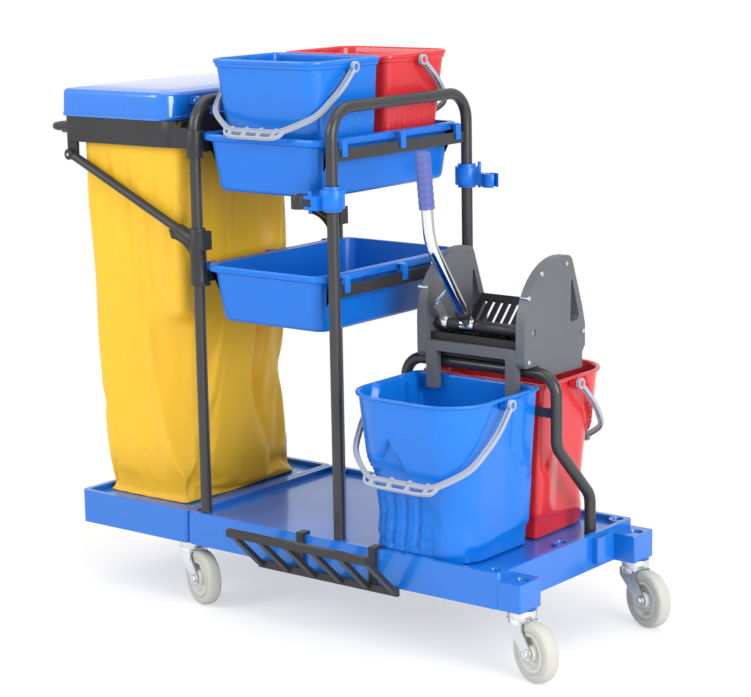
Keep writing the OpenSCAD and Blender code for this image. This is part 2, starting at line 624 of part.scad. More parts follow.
// Bag frame: a moulded ring with arms to the posts, lugs for the struts and ears for the lid
ring_y = [10, deck_w - 10];
ring_r = 38;                                // corner radius next to the posts
ring_left_r = 10;                           // corner radius at the push handle
ring_t = 4;
ring_top = bag_frame_z + 46;
strut_top = [ring_x0 + 8, 802];
strut_low = [post_a - 17, 670];
strut_d = 16;
lug_t = 7;
hinge_x = ring_x1 - 8;
hinge_z = ring_top + 34;
hinge_pin_d = 6;
ear_y = [mid_y - 120, mid_y + 120];
ear_w = 22;
collar_h = 34;
module bag_frame() cart() color(black) difference() {
    union() {
        difference() {
            end_slab(ring_x0, ring_x1, ring_y[0], ring_y[1], bag_frame_z, ring_top, ring_left_r, ring_r);
            end_slab(ring_x0 + ring_t, ring_x1 - ring_t, ring_y[0] + ring_t, ring_y[1] - ring_t,
                bag_frame_z - 1, ring_top + 1, ring_left_r - ring_t, ring_r - ring_t);
        }
        for (y = post_y) {
            s = y < mid_y ? 1 : -1;
            box([ring_x1 - 30, min(y, y + s * 10), bag_frame_z], [post_a, max(y, y + s * 10), ring_top - 10]);
            rod_z(post_a, y, bag_frame_z - 14, bag_frame_z + collar_h, tube_d + 9);
            rod_x(ring_x0 - 12, ring_x0 + 16, handle_y[y < mid_y ? 0 : 1], handle_z, handle_d + 7);
            // Strut lug below the outer corner
            box([ring_x0 + 1, y - lug_t / 2 + s * 3.5, strut_top[1]],
                [ring_x0 + 24, y + lug_t / 2 + s * 3.5, bag_frame_z + 6]);
            rod_y(strut_top[0] + 2, y - lug_t / 2 + s * 3.5, y + lug_t / 2 + s * 3.5, strut_top[1], 18);
        }
        // Ears that carry the lid's hinge pins
        for (y = ear_y) {
            box([hinge_x - 5, y - ear_w / 2, ring_top - 1], [ring_x1, y + ear_w / 2, hinge_z]);
            box([ring_x1 - ring_t, y - ear_w / 2, bag_frame_z], [ring_x1, y + ear_w / 2, ring_top]);
            rod_y(hinge_x, y - ear_w / 2, y + ear_w / 2, hinge_z, 12);
        }
    }
    end_slab(ring_x0 + ring_t, ring_x1 - ring_t, ring_y[0] + ring_t, ring_y[1] - ring_t,
        bag_frame_z - 1, ring_top + 1, ring_left_r - ring_t, ring_r - ring_t);
    for (y = post_y) {
        s = y < mid_y ? 1 : -1;
        rod_z(post_a, y, bag_frame_z - 20, ring_top + 1, tube_d + 2 * gap);
        // Slot that lets the collar pass the tray bar
        box([post_a - bar_t / 2 - gap, min(y, y + s * 20), bag_frame_z - 20],
            [post_a + bar_t / 2 + gap, max(y, y + s * 20), bars_z[0] + bar_h / 2 + gap]);
        rod_x(ring_x0 - 13, ring_x0 + 13, handle_y[y < mid_y ? 0 : 1], handle_z, handle_d + 2 * gap);
        rod_y(strut_top[0] + 2, y - 20, y + 20, strut_top[1], strut_pin_d + 0.2);
    }
    for (y = ear_y) rod_y(hinge_x, y - 30, y + 30, hinge_z, hinge_pin_d + 0.1);
}

// Lid: a hollow cover with a crowned top and two ears on the hinge pins
lid_x = [ring_x0 - 7, hinge_x - 13];
lid_y = [8, deck_w - 8];
lid_z = ring_top + gap;
lid_t = 3;
lid_crown = 5;
module bag_lid() cart() color(blue) difference() {
    union() {
        $fn = 32;
        difference() {
            union() {
                end_slab(lid_x[0], lid_x[1], lid_y[0], lid_y[1], lid_z, lid_z + lid_h - lid_crown,
                    ring_left_r + 2, ring_r + 2);
                hull() {
                    end_slab(lid_x[0], lid_x[1], lid_y[0], lid_y[1], lid_z + lid_h - lid_crown - 1,
                        lid_z + lid_h - lid_crown, ring_left_r + 2, ring_r + 2);
                    end_slab(lid_x[0] + 30, lid_x[1] - 30, lid_y[0] + 30, lid_y[1] - 30, lid_z + lid_h - 1,
                        lid_z + lid_h, ring_left_r, ring_r);
                }
            }
            end_slab(lid_x[0] + lid_t, lid_x[1] - lid_t, lid_y[0] + lid_t, lid_y[1] - lid_t, lid_z - 1,
                lid_z + lid_h - lid_crown - lid_t, ring_left_r - 1, ring_r - 1);
        }
        for (y = ear_y, s = [-1, 1]) {
            a = y + s * (ear_w / 2 + gap);
            b = a + s * 6;
            box([lid_x[1] - 1, min(a, b), hinge_z - 7], [hinge_x, max(a, b), hinge_z + 7]);
            rod_y(hinge_x, min(a, b), max(a, b), hinge_z, 14);
        }
    }
    for (y = ear_y) rod_y(hinge_x, y - 30, y + 30, hinge_z, hinge_pin_d + 0.1);
}
module lid_hinge_pins() cart() color(zinc) for (y = ear_y)
    rod_y(hinge_x, y - ear_w / 2 - 9, y + ear_w / 2 + 9, hinge_z, hinge_pin_d);

// Push handle: a bent bar whose ends sit in sockets on the bag frame
handle_y = [22, deck_w - 22];
handle_z = 850;
module push_handle() cart() color(black) {
    x = ring_x0 - handle_out;
    end = ring_x0 + 12;
    pipe([[end, handle_y[0], handle_z], [x, handle_y[0], handle_z],
        [x, handle_y[1], handle_z], [end, handle_y[1], handle_z]], 20, handle_d);
}

// Struts: a round tube from each lug to a bracket on the post
strut_pin_d = 6;
strut_dir = unit([strut_low[0] - strut_top[0] - 2, 0, strut_low[1] - strut_top[1]]);
module strut(y) difference() {
    s = y < mid_y ? 1 : -1;
    a = [strut_top[0] + 2, y, strut_top[1]];
    b = a + strut_dir * norm([strut_low[0] - a[0], 0, strut_low[1] - a[2]]);
    union() {
        rod(a, b, strut_d);
        translate(a) rotate([90, 0, 0]) cylinder(d = strut_d + 4, h = strut_d, center = true);
    }
    box([a[0] - 20, y + s * 3.5 - lug_t / 2 - gap, a[2] - 40], [a[0] + 15, y + s * 3.5 + lug_t / 2 + gap, a[2] + 40]);
    rod_y(a[0], y - 20, y + 20, a[2], strut_pin_d + 0.2);
}
module front_strut() cart() color(black) strut(post_y[0]);
module back_strut() cart() color(black) strut(post_y[1]);
module strut_pins() cart() color(zinc) for (y = post_y)
    rod_y(strut_top[0] + 2, y - strut_d / 2 - 2, y + strut_d / 2 + 2, strut_top[1], strut_pin_d);

// Strut bracket: a sleeve on the post with a socket for the strut and a curved web below it
module strut_bracket(y) difference() {
    s = y < mid_y ? 1 : -1;
    z0 = 588;
    z1 = 688;
    union() {
        rod_z(post_a, y, z0, z1, tube_d + 9);
        box([post_a - 4, y - 12, 651], [post_a + 22, y + 12, 684]);
        box([post_a - 4, y - 8, z0], [post_a + 20, y + 8, z0 + 6]);
        xz(y - 3.5, y + 3.5) polygon(concat([[post_a, z0 + 6], [post_a, 676]],
            [[post_a - 66, 682]], arc([post_a - 62, 612], 54, 88, 8, 10)));
        a = [strut_low[0], y, strut_low[1]];
        rod(a - strut_dir * 30, a + strut_dir * 8, strut_d + 7);
    }
    rod_z(post_a, y, z0 - 1, z1 + 1, tube_d + 2 * gap);
    // Slot that lets the sleeve pass the tray bar
    box([post_a - bar_t / 2 - gap, min(y, y + s * 20), z0 - 1],
        [post_a + bar_t / 2 + gap, max(y, y + s * 20), bars_z[1] + bar_h / 2 + gap]);
    a = [strut_low[0], y, strut_low[1]];
    rod(a - strut_dir * 140, a + strut_dir * 0.3, strut_d + 2 * gap);
}
module front_strut_bracket() cart() color(black) strut_bracket(post_y[0]);
module back_strut_bracket() cart() color(black) strut_bracket(post_y[1]);

// Waste bag: a hanging sack, open at the top inside the bag frame and standing on the platform
bag_t = 1.5;
bag_top_z = bag_frame_z + 12;
bag_top = [[ring_x0 + 24, ring_x1 - ring_t - 1], [post_inset + strut_d / 2 + 1.5, deck_w - 30]];
bag_foot = [[-main_len - bag_len + rim_w + 2, post_a - 80], [48, deck_w - 44]];
module bag_form(t) hull() {
    $fn = 32;
    slab(bag_top[0][0] + t, bag_top[0][1] - t, bag_top[1][0] + t, bag_top[1][1] - t,
        bag_top_z - 1, bag_top_z + t, 30 - t);
    slab(bag_foot[0][0] + t, bag_foot[0][1] - t, bag_foot[1][0] + t, bag_foot[1][1] - t,
        floor_z + gap + t, floor_z + gap + t + 1, 20 - t);
}
module waste_bag() cart() color(yellow) difference() {
    bag_form(0);
    bag_form(bag_t);
}

// Broom rest: a slanting rack hooked over the deck's front rim
rest_x = [post_b - 165, post_b + 141];
rest_hook_x = [post_b - 79, post_b + 79];
module broom_rest() cart() color(black) {
    low = [-7, deck_bottom - 6.5];
    high = [-rest_out + 6, deck_top + 8.5];
    box([rest_x[0], -9, low[1] - 5], [rest_x[1], -2, low[1] + 8]);
    box([rest_x[0], -rest_out, high[1] - 7], [rest_x[1], -rest_out + 11, high[1] + 6]);
    for (k = [0 : 5]) {
        x = rest_x[0] + k * (rest_x[1] - rest_x[0] - 12) / 5;
        yz(x, x + 12) polygon([low - [0, 5], low + [0, 6], high + [0, 5], high - [0, 6]]);
    }
    for (x = rest_hook_x) {
        box([x, -7, low[1] - 4], [x + 14, -gap, deck_top + 4]);
        box([x, -7, deck_top + gap], [x + 14, rim_w + 4, deck_top + 4]);
        box([x, rim_w + gap, deck_top - 6], [x + 14, rim_w + 4, deck_top + 1]);
    }
}

// Mop clips: a collar on a post with an arm and an open jaw
clip_z = [739, 781];
jaw_r = 10;
module clip_collar(y) difference() {
    union() {
        rod_z(post_b, y, clip_z[0] + 5, clip_z[1] - 5, tube_d + 22);
        rod_z(post_b, y, clip_z[0], clip_z[1], tube_d + 12);
    }
    rod_z(post_b, y, clip_z[0] - 1, clip_z[1] + 1, tube_d + 0.2);
}
jaw_z = [742, 766];
// Open jaw with its mouth facing away from the cart's middle
module jaw(x, y, side) difference() {
    union() {
        rod_z(x, y, jaw_z[0], jaw_z[1], 2 * jaw_r + 8);
        box([min(x, x + side * 14), y - 7, jaw_z[0]], [max(x, x + side * 14), y + 7, jaw_z[1]]);
    }
    rod_z(x, y, jaw_z[0] - 1, jaw_z[1] + 1, 2 * jaw_r);
    box([min(x, x - side * 40), y - 7, jaw_z[0] - 1], [max(x, x - side * 40), y + 7, jaw_z[1] + 1]);
}
front_jaw_x = post_b - 56;
front_jaw_y = tray_y[0] - jaw_r - 2;          // a handle in the jaw passes in front of the trays
front_pin_x = post_b - 33;
tongue_z = [jaw_z[0] + 6, jaw_z[1] - 6];
back_jaw_x = post_b + 52;
module front_clip_collar() cart() color(blue) difference() {
    y = post_y[0];
    union() {
        clip_collar(y);
        box([post_b - 40, front_jaw_y - 9, tongue_z[0] - 6], [post_b - 12, front_jaw_y + 9, tongue_z[1] + 6]);
        box([post_b - 20, front_jaw_y, tongue_z[0] - 6], [post_b - 8, y, tongue_z[1] + 6]);
    }
    rod_z(post_b, y, clip_z[0] - 1, clip_z[1] + 1, tube_d + 0.2);
    box([post_b - 41, front_jaw_y - 10, tongue_z[0]], [post_b - 24, front_jaw_y + 10, tongue_z[1]]);
    rod_z(front_pin_x, front_jaw_y, clip_z[0] - 10, clip_z[1], clip_pin_d + 0.1);
}
module front_clip_jaw() cart() color(black) difference() {
    union() {
        jaw(front_jaw_x, front_jaw_y, 1);
        box([front_jaw_x + 8, front_jaw_y - 7, tongue_z[0] + gap],
            [post_b - 24 - gap, front_jaw_y + 7, tongue_z[1] - gap]);
    }
    rod_z(front_jaw_x, front_jaw_y, jaw_z[0] - 1, jaw_z[1] + 1, 2 * jaw_r);
    rod_z(front_pin_x, front_jaw_y, clip_z[0] - 10, clip_z[1], clip_pin_d + 0.1);
}
module back_clip_collar() cart() color(blue) difference() {
    union() {
        clip_collar(post_y[1]);
        box([post_b + 16, post_y[1] - 8, jaw_z[0] + 2], [back_jaw_x - 12, post_y[1] + 8, jaw_z[1]]);
        jaw(back_jaw_x, post_y[1], -1);
    }
    rod_z(post_b, post_y[1], clip_z[0] - 1, clip_z[1] + 1, tube_d + 0.2);
    rod_z(back_jaw_x, post_y[1], jaw_z[0] - 1, jaw_z[1] + 1, 2 * jaw_r);
    rod_z(post_b + 28, post_y[1], jaw_z[0] - 5, jaw_z[1] + 5, clip_pin_d + 0.1);
}
clip_pin_d = 6;
module clip_pins() cart() color(blue) {
    rod_z(front_pin_x, front_jaw_y, jaw_z[0] - 7, jaw_z[1] + 7, clip_pin_d);
    rod_z(post_b + 28, post_y[1], jaw_z[0] - 2, clip_z[1] + 5, clip_pin_d);
}

// Caster: a plate with a threaded stem in the deck, a bearing cup, a swivelling fork and a wheel
stem_d = 12;
cup_d = 48;
cup_z = wheel_d - 2;
module caster_plates() cart() color(zinc) for (p = caster_xy) {
    rod_z(p[0], p[1], cup_z + 3, deck_bottom - gap, cup_d);
    rod_z(p[0], p[1], deck_bottom - gap - eps, box_z - 4, stem_d);
    rod_z(p[0], p[1], box_z - 14 + gap, box_z - 7, 19);
    rod_z(p[0], p[1], cup_z - 5.5, cup_z + 3 + eps, stem_d);
}
fork_t = 3;
fork_gap = 3;
module caster_at(i) translate([caster_xy[i][0], caster_xy[i][1], 0]) rotate([0, 0, trail_dir]) children();
module fork(i) caster_at(i) difference() {
    union() {
        translate([0, 0, cup_z - 6]) cylinder(d = cup_d - 2, h = 6 + 3 - gap);
        for (s = [-1, 1]) {
            y0 = s > 0 ? wheel_w / 2 + fork_gap : -wheel_w / 2 - fork_gap - fork_t;
            xz(y0, y0 + fork_t) polygon(concat([[-20, cup_z]], [[-20, cup_z - 14]],
                arc([trail, wheel_r], 11, 215, 395, 10), [[21, cup_z - 14], [21, cup_z]]));
        }
    }
    translate([0, 0, cup_z - 12]) cylinder(d = stem_d + 0.2, h = 30);
    rod_y(trail, -40, 40, wheel_r, axle_d + 0.1);
    // Room for the wheel under the crown
    rod_y(trail, -wheel_w / 2 - fork_gap, wheel_w / 2 + fork_gap, wheel_r, wheel_d + 4);
}
axle_d = 8;
hub_d = 62;
module wheel_tyre(i) caster_at(i) difference() {
    translate([trail, 0, wheel_r]) rotate([90, 0, 0]) rotate_extrude($fn = 96)
        polygon([[hub_d / 2, -wheel_w / 2], [wheel_r - 5, -wheel_w / 2], [wheel_r - 1.5, -wheel_w / 2 + 3],
            [wheel_r, -wheel_w / 2 + tread_edge], [wheel_r, wheel_w / 2 - tread_edge], [wheel_r - 1.5, wheel_w / 2 - 3],
            [wheel_r - 5, wheel_w / 2], [hub_d / 2, wheel_w / 2]]);
}
module wheel_hub(i) caster_at(i) translate([trail, 0, wheel_r]) rotate([90, 0, 0])
    rotate_extrude() polygon([[axle_d / 2 + 0.05, -wheel_w / 2 - 2], [12, -wheel_w / 2 - 2],
        [13, -5], [hub_d / 2 - 6, -4], [hub_d / 2 - 4, -wheel_w / 2], [hub_d / 2, -wheel_w / 2],
        [hub_d / 2, wheel_w / 2], [hub_d / 2 - 4, wheel_w / 2], [hub_d / 2 - 6, 4],
        [13, 5], [12, wheel_w / 2 + 2], [axle_d / 2 + 0.05, wheel_w / 2 + 2]]);
module wheel_axle(i) caster_at(i) {
    reach = wheel_w / 2 + fork_gap + fork_t;
    rod_y(trail, -reach - 3, reach + 7, wheel_r, axle_d);
    rod_y(trail, -reach - 6, -reach - gap, wheel_r, 15);
    rod_y(trail, reach + gap, reach + 6, wheel_r, 14);
}

main_deck();
bag_platform();
platform_bolts();
bag_side_frame();
bucket_side_frame();
upper_tray();
lower_tray();
small_blue_bucket();
small_blue_bail();
small_red_bucket();
small_red_bail();
large_blue_bucket();
large_blue_bail();
large_red_bucket();
large_red_bail();
wringer_stand();
wringer_left_cheek();
wringer_right_cheek();
wringer_crossbar();
wringer_basket();
press_plate();
wringer_shaft();
wringer_lever();
lever_grip();
lever_brace();
lever_clamp();
cheek_screws();
bag_frame();
bag_lid();
lid_hinge_pins();
push_handle();
front_strut();
back_strut();
front_strut_bracket();
back_strut_bracket();
strut_pins();
waste_bag();
broom_rest();
front_clip_collar();
front_clip_jaw();
back_clip_collar();
clip_pins();
caster_plates();
cart() color(zinc) fork(0);  // front_right_fork
cart() color(zinc) fork(1);  // back_right_fork
cart() color(zinc) fork(2);  // front_left_fork
cart() color(zinc) fork(3);  // back_left_fork
cart() color(tyre_grey) wheel_tyre(0);  // front_right_tyre
cart() color(tyre_grey) wheel_tyre(1);  // back_right_tyre
cart() color(tyre_grey) wheel_tyre(2);  // front_left_tyre
cart() color(tyre_grey) wheel_tyre(3);  // back_left_tyre
cart() color(tyre_grey) wheel_hub(0);  // front_right_hub
cart() color(tyre_grey) wheel_hub(1);  // back_right_hub
cart() color(tyre_grey) wheel_hub(2);  // front_left_hub
cart() color(tyre_grey) wheel_hub(3);  // back_left_hub
cart() color(zinc) wheel_axle(0);  // front_right_axle
cart() color(zinc) wheel_axle(1);  // back_right_axle
cart() color(zinc) wheel_axle(2);  // front_left_axle
cart() color(zinc) wheel_axle(3);  // back_left_axle
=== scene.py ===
"""Looks of the janitor cart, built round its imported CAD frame. Lengths are in metres."""
import math

import bmesh
import bpy
from mathutils import Matrix, Vector, noise


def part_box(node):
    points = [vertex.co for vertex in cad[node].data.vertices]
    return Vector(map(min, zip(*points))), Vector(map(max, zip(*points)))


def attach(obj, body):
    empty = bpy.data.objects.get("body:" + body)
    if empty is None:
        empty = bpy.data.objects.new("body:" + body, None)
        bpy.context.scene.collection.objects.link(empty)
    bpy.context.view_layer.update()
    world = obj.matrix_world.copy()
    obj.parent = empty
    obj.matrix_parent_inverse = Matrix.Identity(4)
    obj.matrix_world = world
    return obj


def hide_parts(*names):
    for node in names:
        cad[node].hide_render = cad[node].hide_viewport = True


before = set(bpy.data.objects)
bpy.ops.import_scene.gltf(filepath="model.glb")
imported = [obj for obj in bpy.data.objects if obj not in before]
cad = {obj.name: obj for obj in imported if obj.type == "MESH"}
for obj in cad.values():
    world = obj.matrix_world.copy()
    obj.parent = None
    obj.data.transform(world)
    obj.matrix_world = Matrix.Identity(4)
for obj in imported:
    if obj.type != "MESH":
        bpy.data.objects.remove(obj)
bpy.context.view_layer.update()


# Deck and bag platform: two blue mouldings with a fine grain, edges rounded by the mould.
# Their CAD shapes stay and get their finish and soft edges here. Every moulded piece of the
# cart has the same kind of finish in its own colour: faint grain, uneven tint and gloss.
def plastic(name, colour, rough=0.35, grain=0.12, shade=0.05, fine_scale=260.0):
    finish = bpy.data.materials.new(name)
    finish.use_nodes = True
    nodes, links = finish.node_tree.nodes, finish.node_tree.links
    shader = nodes["Principled BSDF"]
    place = nodes.new("ShaderNodeTexCoord")
    fine = nodes.new("ShaderNodeTexNoise")
    fine.inputs["Scale"].default_value = fine_scale
    fine.inputs["Detail"].default_value = 3.0
    links.new(place.outputs["Object"], fine.inputs["Vector"])
    wide = nodes.new("ShaderNodeTexNoise")
    wide.inputs["Scale"].default_value = 7.0
    wide.inputs["Detail"].default_value = 4.0
    links.new(place.outputs["Object"], wide.inputs["Vector"])
    tint = nodes.new("ShaderNodeMix")
    tint.data_type = "RGBA"
    tint.inputs["A"].default_value = (*[c * (1 - shade) for c in colour], 1)
    tint.inputs["B"].default_value = (*[min(1, c * (1 + shade)) for c in colour], 1)
    links.new(wide.outputs["Fac"], tint.inputs["Factor"])
    links.new(tint.outputs["Result"], shader.inputs["Base Color"])
    gloss = nodes.new("ShaderNodeMapRange")
    gloss.inputs["To Min"].default_value = rough * 0.8
    gloss.inputs["To Max"].default_value = rough * 1.25
    links.new(wide.outputs["Fac"], gloss.inputs["Value"])
    links.new(gloss.outputs["Result"], shader.inputs["Roughness"])
    bump = nodes.new("ShaderNodeBump")
    bump.inputs["Strength"].default_value = grain
    bump.inputs["Distance"].default_value = 0.0003
    links.new(fine.outputs["Fac"], bump.inputs["Height"])
    links.new(bump.outputs["Normal"], shader.inputs["Normal"])
    shader.inputs["Specular IOR Level"].default_value = 0.32
    return finish


def polish(finish, weight, rough, ior=1.5):
    """Adds the clear skin of a highly polished mould."""
    shader = finish.node_tree.nodes["Principled BSDF"]
    shader.inputs["Coat Weight"].default_value = weight
    shader.inputs["Coat Roughness"].default_value = rough
    shader.inputs["Coat IOR"].default_value = ior
    return finish


def dress(finish, names, edge=0.0):
    """Gives CAD nodes their finish, and a rounded edge where one is asked for."""
    for name in names:
        node = cad[name]
        node.data.materials.clear()
        node.data.materials.append(finish)
        if edge:
            weld = node.modifiers.new("weld", "WELD")
            weld.merge_threshold = 0.00001
            bevel = node.modifiers.new("soft_edges", "BEVEL")
            bevel.width = edge
            bevel.segments = 2
            bevel.limit_method = "ANGLE"
            bevel.angle_limit = math.radians(40)
            bevel.harden_normals = True


deck_blue = polish(plastic("deck_blue", (0.003, 0.125, 0.50), 0.30, 0.2), 0.45, 0.08, 1.55)
dress(deck_blue, ["main_deck", "bag_platform"], 0.0025)

# Casters: zinc-plated pressings with a grey rubber tyre on a paler hub. The tyre has a crowned
# tread and a groove where it meets the hub; fork, plate and axle keep their CAD shapes.


def metal(name, colour, rough=0.3, metallic=1.0, streaks=0.05):
    finish = plastic(name, colour, rough, 0.1, streaks, 400.0)
    finish.node_tree.nodes["Principled BSDF"].inputs["Metallic"].default_value = metallic
    return finish


def piece(name, bm, body, finish, stands_for=(), edge=0.0, sharp=35):
    """Makes the finished mesh an object that rides on a body in place of its CAD nodes."""
    bmesh.ops.remove_doubles(bm, verts=bm.verts, dist=1e-6)
    bmesh.ops.recalc_face_normals(bm, faces=bm.faces)
    mesh = bpy.data.meshes.new(name)
    bm.to_mesh(mesh)
    bm.free()
    mesh.shade_smooth()
    mesh.set_sharp_from_angle(angle=math.radians(sharp))
    mesh.materials.append(finish)
    obj = bpy.data.objects.new(name, mesh)
    bpy.context.scene.collection.objects.link(obj)
    if edge:
        bevel = obj.modifiers.new("soft_edges", "BEVEL")
        bevel.width = edge
        bevel.segments = 2
        bevel.limit_method = "ANGLE"
        bevel.angle_limit = math.radians(sharp)
        bevel.harden_normals = True
    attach(obj, body)
    if stands_for:
        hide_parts(*stands_for)
    return obj


def middle(node):
    low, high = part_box(node)
    return (low + high) / 2


def lathe(bm, profile, centre, along, steps=48):
    """Spins a profile of (distance along the axis, radius) points about the axis."""
    turn = Vector((0, 0, 1)).rotation_difference(Vector(along)).to_matrix()
    verts = [bm.verts.new(centre + turn @ Vector((r, 0, h))) for h, r in profile]
    edges = [bm.edges.new(pair) for pair in zip(verts, verts[1:])]
    bmesh.ops.spin(bm, geom=verts + edges, cent=centre, axis=turn @ Vector((0, 0, 1)), dvec=(0, 0, 0),
                   angle=2 * math.pi, steps=steps, use_merge=True, use_duplicate=False)


def eyelet(bm, centre, along, bore_r, outer_r, half_width):
    """A short ring with a bore through it, for a pin to turn in."""
    lathe(bm, [(-half_width, bore_r), (-half_width, outer_r), (half_width, outer_r), (half_width, bore_r),
               (-half_width, bore_r)], centre, along, 32)


zinc = metal("zinc", (0.62, 0.63, 0.65), 0.3)
bright_zinc = metal("bright_zinc", (0.72, 0.73, 0.75), 0.22)
tyre_grey = plastic("tyre_grey", (0.42, 0.42, 0.38), 0.55)
hub_grey = plastic("hub_grey", (0.55, 0.56, 0.52), 0.45)
dress(bright_zinc, ["front_right_fork", "back_right_fork", "front_left_fork", "back_left_fork"], 0.0008)
dress(zinc, ["caster_plates", "front_right_axle", "back_right_axle", "front_left_axle",
             "back_left_axle"], 0.0005)
wheel_r = 0.05
half_tread = 0.0125
for corner in ["front_right", "back_right", "front_left", "back_left"]:
    centre = middle(corner + "_tyre")
    along = Vector((math.sin(math.radians(20)), math.cos(math.radians(20)), 0))
    tyre = bmesh.new()
    lathe(tyre, [(-half_tread, 0.031), (-half_tread, 0.034), (-half_tread + 0.0012, 0.0352),
                 (-half_tread, 0.0364), (-half_tread, 0.0445), (-0.0115, 0.047), (-0.0092, 0.0488),
                 (-0.006, 0.0497), (0, wheel_r), (0.006, 0.0497), (0.0092, 0.0488), (0.0115, 0.047),
                 (half_tread, 0.0445), (half_tread, 0.0364), (half_tread - 0.0012, 0.0352),
                 (half_tread, 0.034), (half_tread, 0.031), (-half_tread, 0.031)], centre, along, 72)
    piece(corner + "_tyre_tread", tyre, corner + "_wheel", tyre_grey, [corner + "_tyre"])
    hub = bmesh.new()
    lathe(hub, [(-0.0145, 0.0041), (-0.0145, 0.0115), (-0.0105, 0.0135), (-0.005, 0.0145), (-0.004, 0.024),
                (-0.0105, 0.0275), (-0.0122, 0.0285), (-0.0122, 0.0309), (0.0122, 0.0309), (0.0122, 0.0285),
                (0.0105, 0.0275), (0.004, 0.024), (0.005, 0.0145), (0.0105, 0.0135), (0.0145, 0.0115),
                (0.0145, 0.0041), (-0.0145, 0.0041)], centre, along, 48)
    piece(corner + "_hub_web", hub, corner + "_wheel", hub_grey, [corner + "_hub"])

# Frames: black-painted steel tubes with a satin gloss. The two hoops and the wringer stand keep
# their CAD shapes.
tube_black = metal("tube_black", (0.045, 0.045, 0.047), 0.3, 0.35)
dress(tube_black, ["bag_side_frame", "bucket_side_frame", "wringer_stand"])


# Trays: thin blue tubs with a broad rolled rim, gussets under the rim's ends and hooks that
# clip over the frame's flat bars. Each is one smooth moulding.
def outline(x0, x1, y0, y1, front_r, back_r, steps=(36, 14, 28, 8, 20)):
    """Points round a rounded rectangle from the middle of its front, going right: the point, the
    direction outwards and the way walked, which is negative on the left-hand half."""
    front, front_turn, side, back_turn, back = steps
    half = (x1 - x0) / 2
    flat = half - front_r
    run = y1 - y0 - front_r - back_r
    arc = math.pi / 2
    right = []
    for k in range(front // 2):
        x = flat * (k + 0.5) / (front / 2)
        right.append((x, y0, 0, -1, x))
    for k in range(front_turn):
        a = arc * (k + 0.5) / front_turn
        right.append((flat + front_r * math.sin(a), y0 + front_r * (1 - math.cos(a)), math.sin(a),
                      -math.cos(a), flat + front_r * a))
    walked = flat + front_r * arc
    for k in range(side):
        y = run * (k + 0.5) / side
        right.append((half, y0 + front_r + y, 1, 0, walked + y))
    walked += run
    for k in range(back_turn):
        a = arc * (k + 0.5) / back_turn
        right.append((half - back_r * (1 - math.cos(a)), y1 - back_r * (1 - math.sin(a)), math.cos(a),
                      math.sin(a), walked + back_r * a))
    walked += back_r * arc
    for k in range(back // 2):
        x = (half - back_r) * (k + 0.5) / (back / 2)
        right.append((half - back_r - x, y1, 0, 1, walked + x))
    left = [(-x, y, -nx, ny, -way) for x, y, nx, ny, way in reversed(right)]
    mid_x = (x0 + x1) / 2
    return [(Vector((x + mid_x, y, 0)), Vector((nx, ny, 0)), way) for x, y, nx, ny, way in right + left]


def loft(bm, rings, caps=True):
    """Skins rings of equally many points. The first ring is a circle moved onto its points, and
    each later one is extruded from the ring before it."""
    station = bm.verts.layers.int.get("station") or bm.verts.layers.int.new("station")
    verts = bmesh.ops.create_circle(bm, segments=len(rings[0]), radius=1.0)["verts"]
    for k, v in enumerate(verts):
        v[station] = k
    edges = list(dict.fromkeys(e for v in verts for e in v.link_edges))
    ends = [edges]
    for k, ring in enumerate(rings):
        if k:
            grown = bmesh.ops.extrude_edge_only(bm, edges=edges)["geom"]
            verts = [g for g in grown if isinstance(g, bmesh.types.BMVert)]
            edges = [g for g in grown if isinstance(g, bmesh.types.BMEdge)]
        for v in verts:
            v.co = ring[v[station]]
    ends.append(edges)
    if caps:
        for loop in ends:
            bmesh.ops.edgeloop_fill(bm, edges=loop)


def blend_sizes(a, b, t):
    return [p + (q - p) * t for p, q in zip(a, b)]


def raised(base, z, out=0.0):
    """The outline lifted to a height and moved outwards."""
    return [p + n * out + Vector((0, 0, z)) for p, n, way in base]


def block(bm, low, high):
    verts = bmesh.ops.create_cube(bm, size=1.0)["verts"]
    bmesh.ops.scale(bm, vec=Vector(high) - Vector(low), verts=verts)
    bmesh.ops.translate(bm, vec=(Vector(high) + Vector(low)) / 2, verts=verts)
    return verts


def drum(bm, centre, along, radius, length, steps=32):
    made = bmesh.ops.create_cone(bm, cap_ends=True, segments=steps, radius1=radius, radius2=radius,
                                 depth=length)["verts"]
    turn = Vector((0, 0, 1)).rotation_difference(Vector(along)).to_matrix()
    bmesh.ops.rotate(bm, cent=(0, 0, 0), matrix=turn, verts=made)
    bmesh.ops.translate(bm, vec=centre, verts=made)
    return made


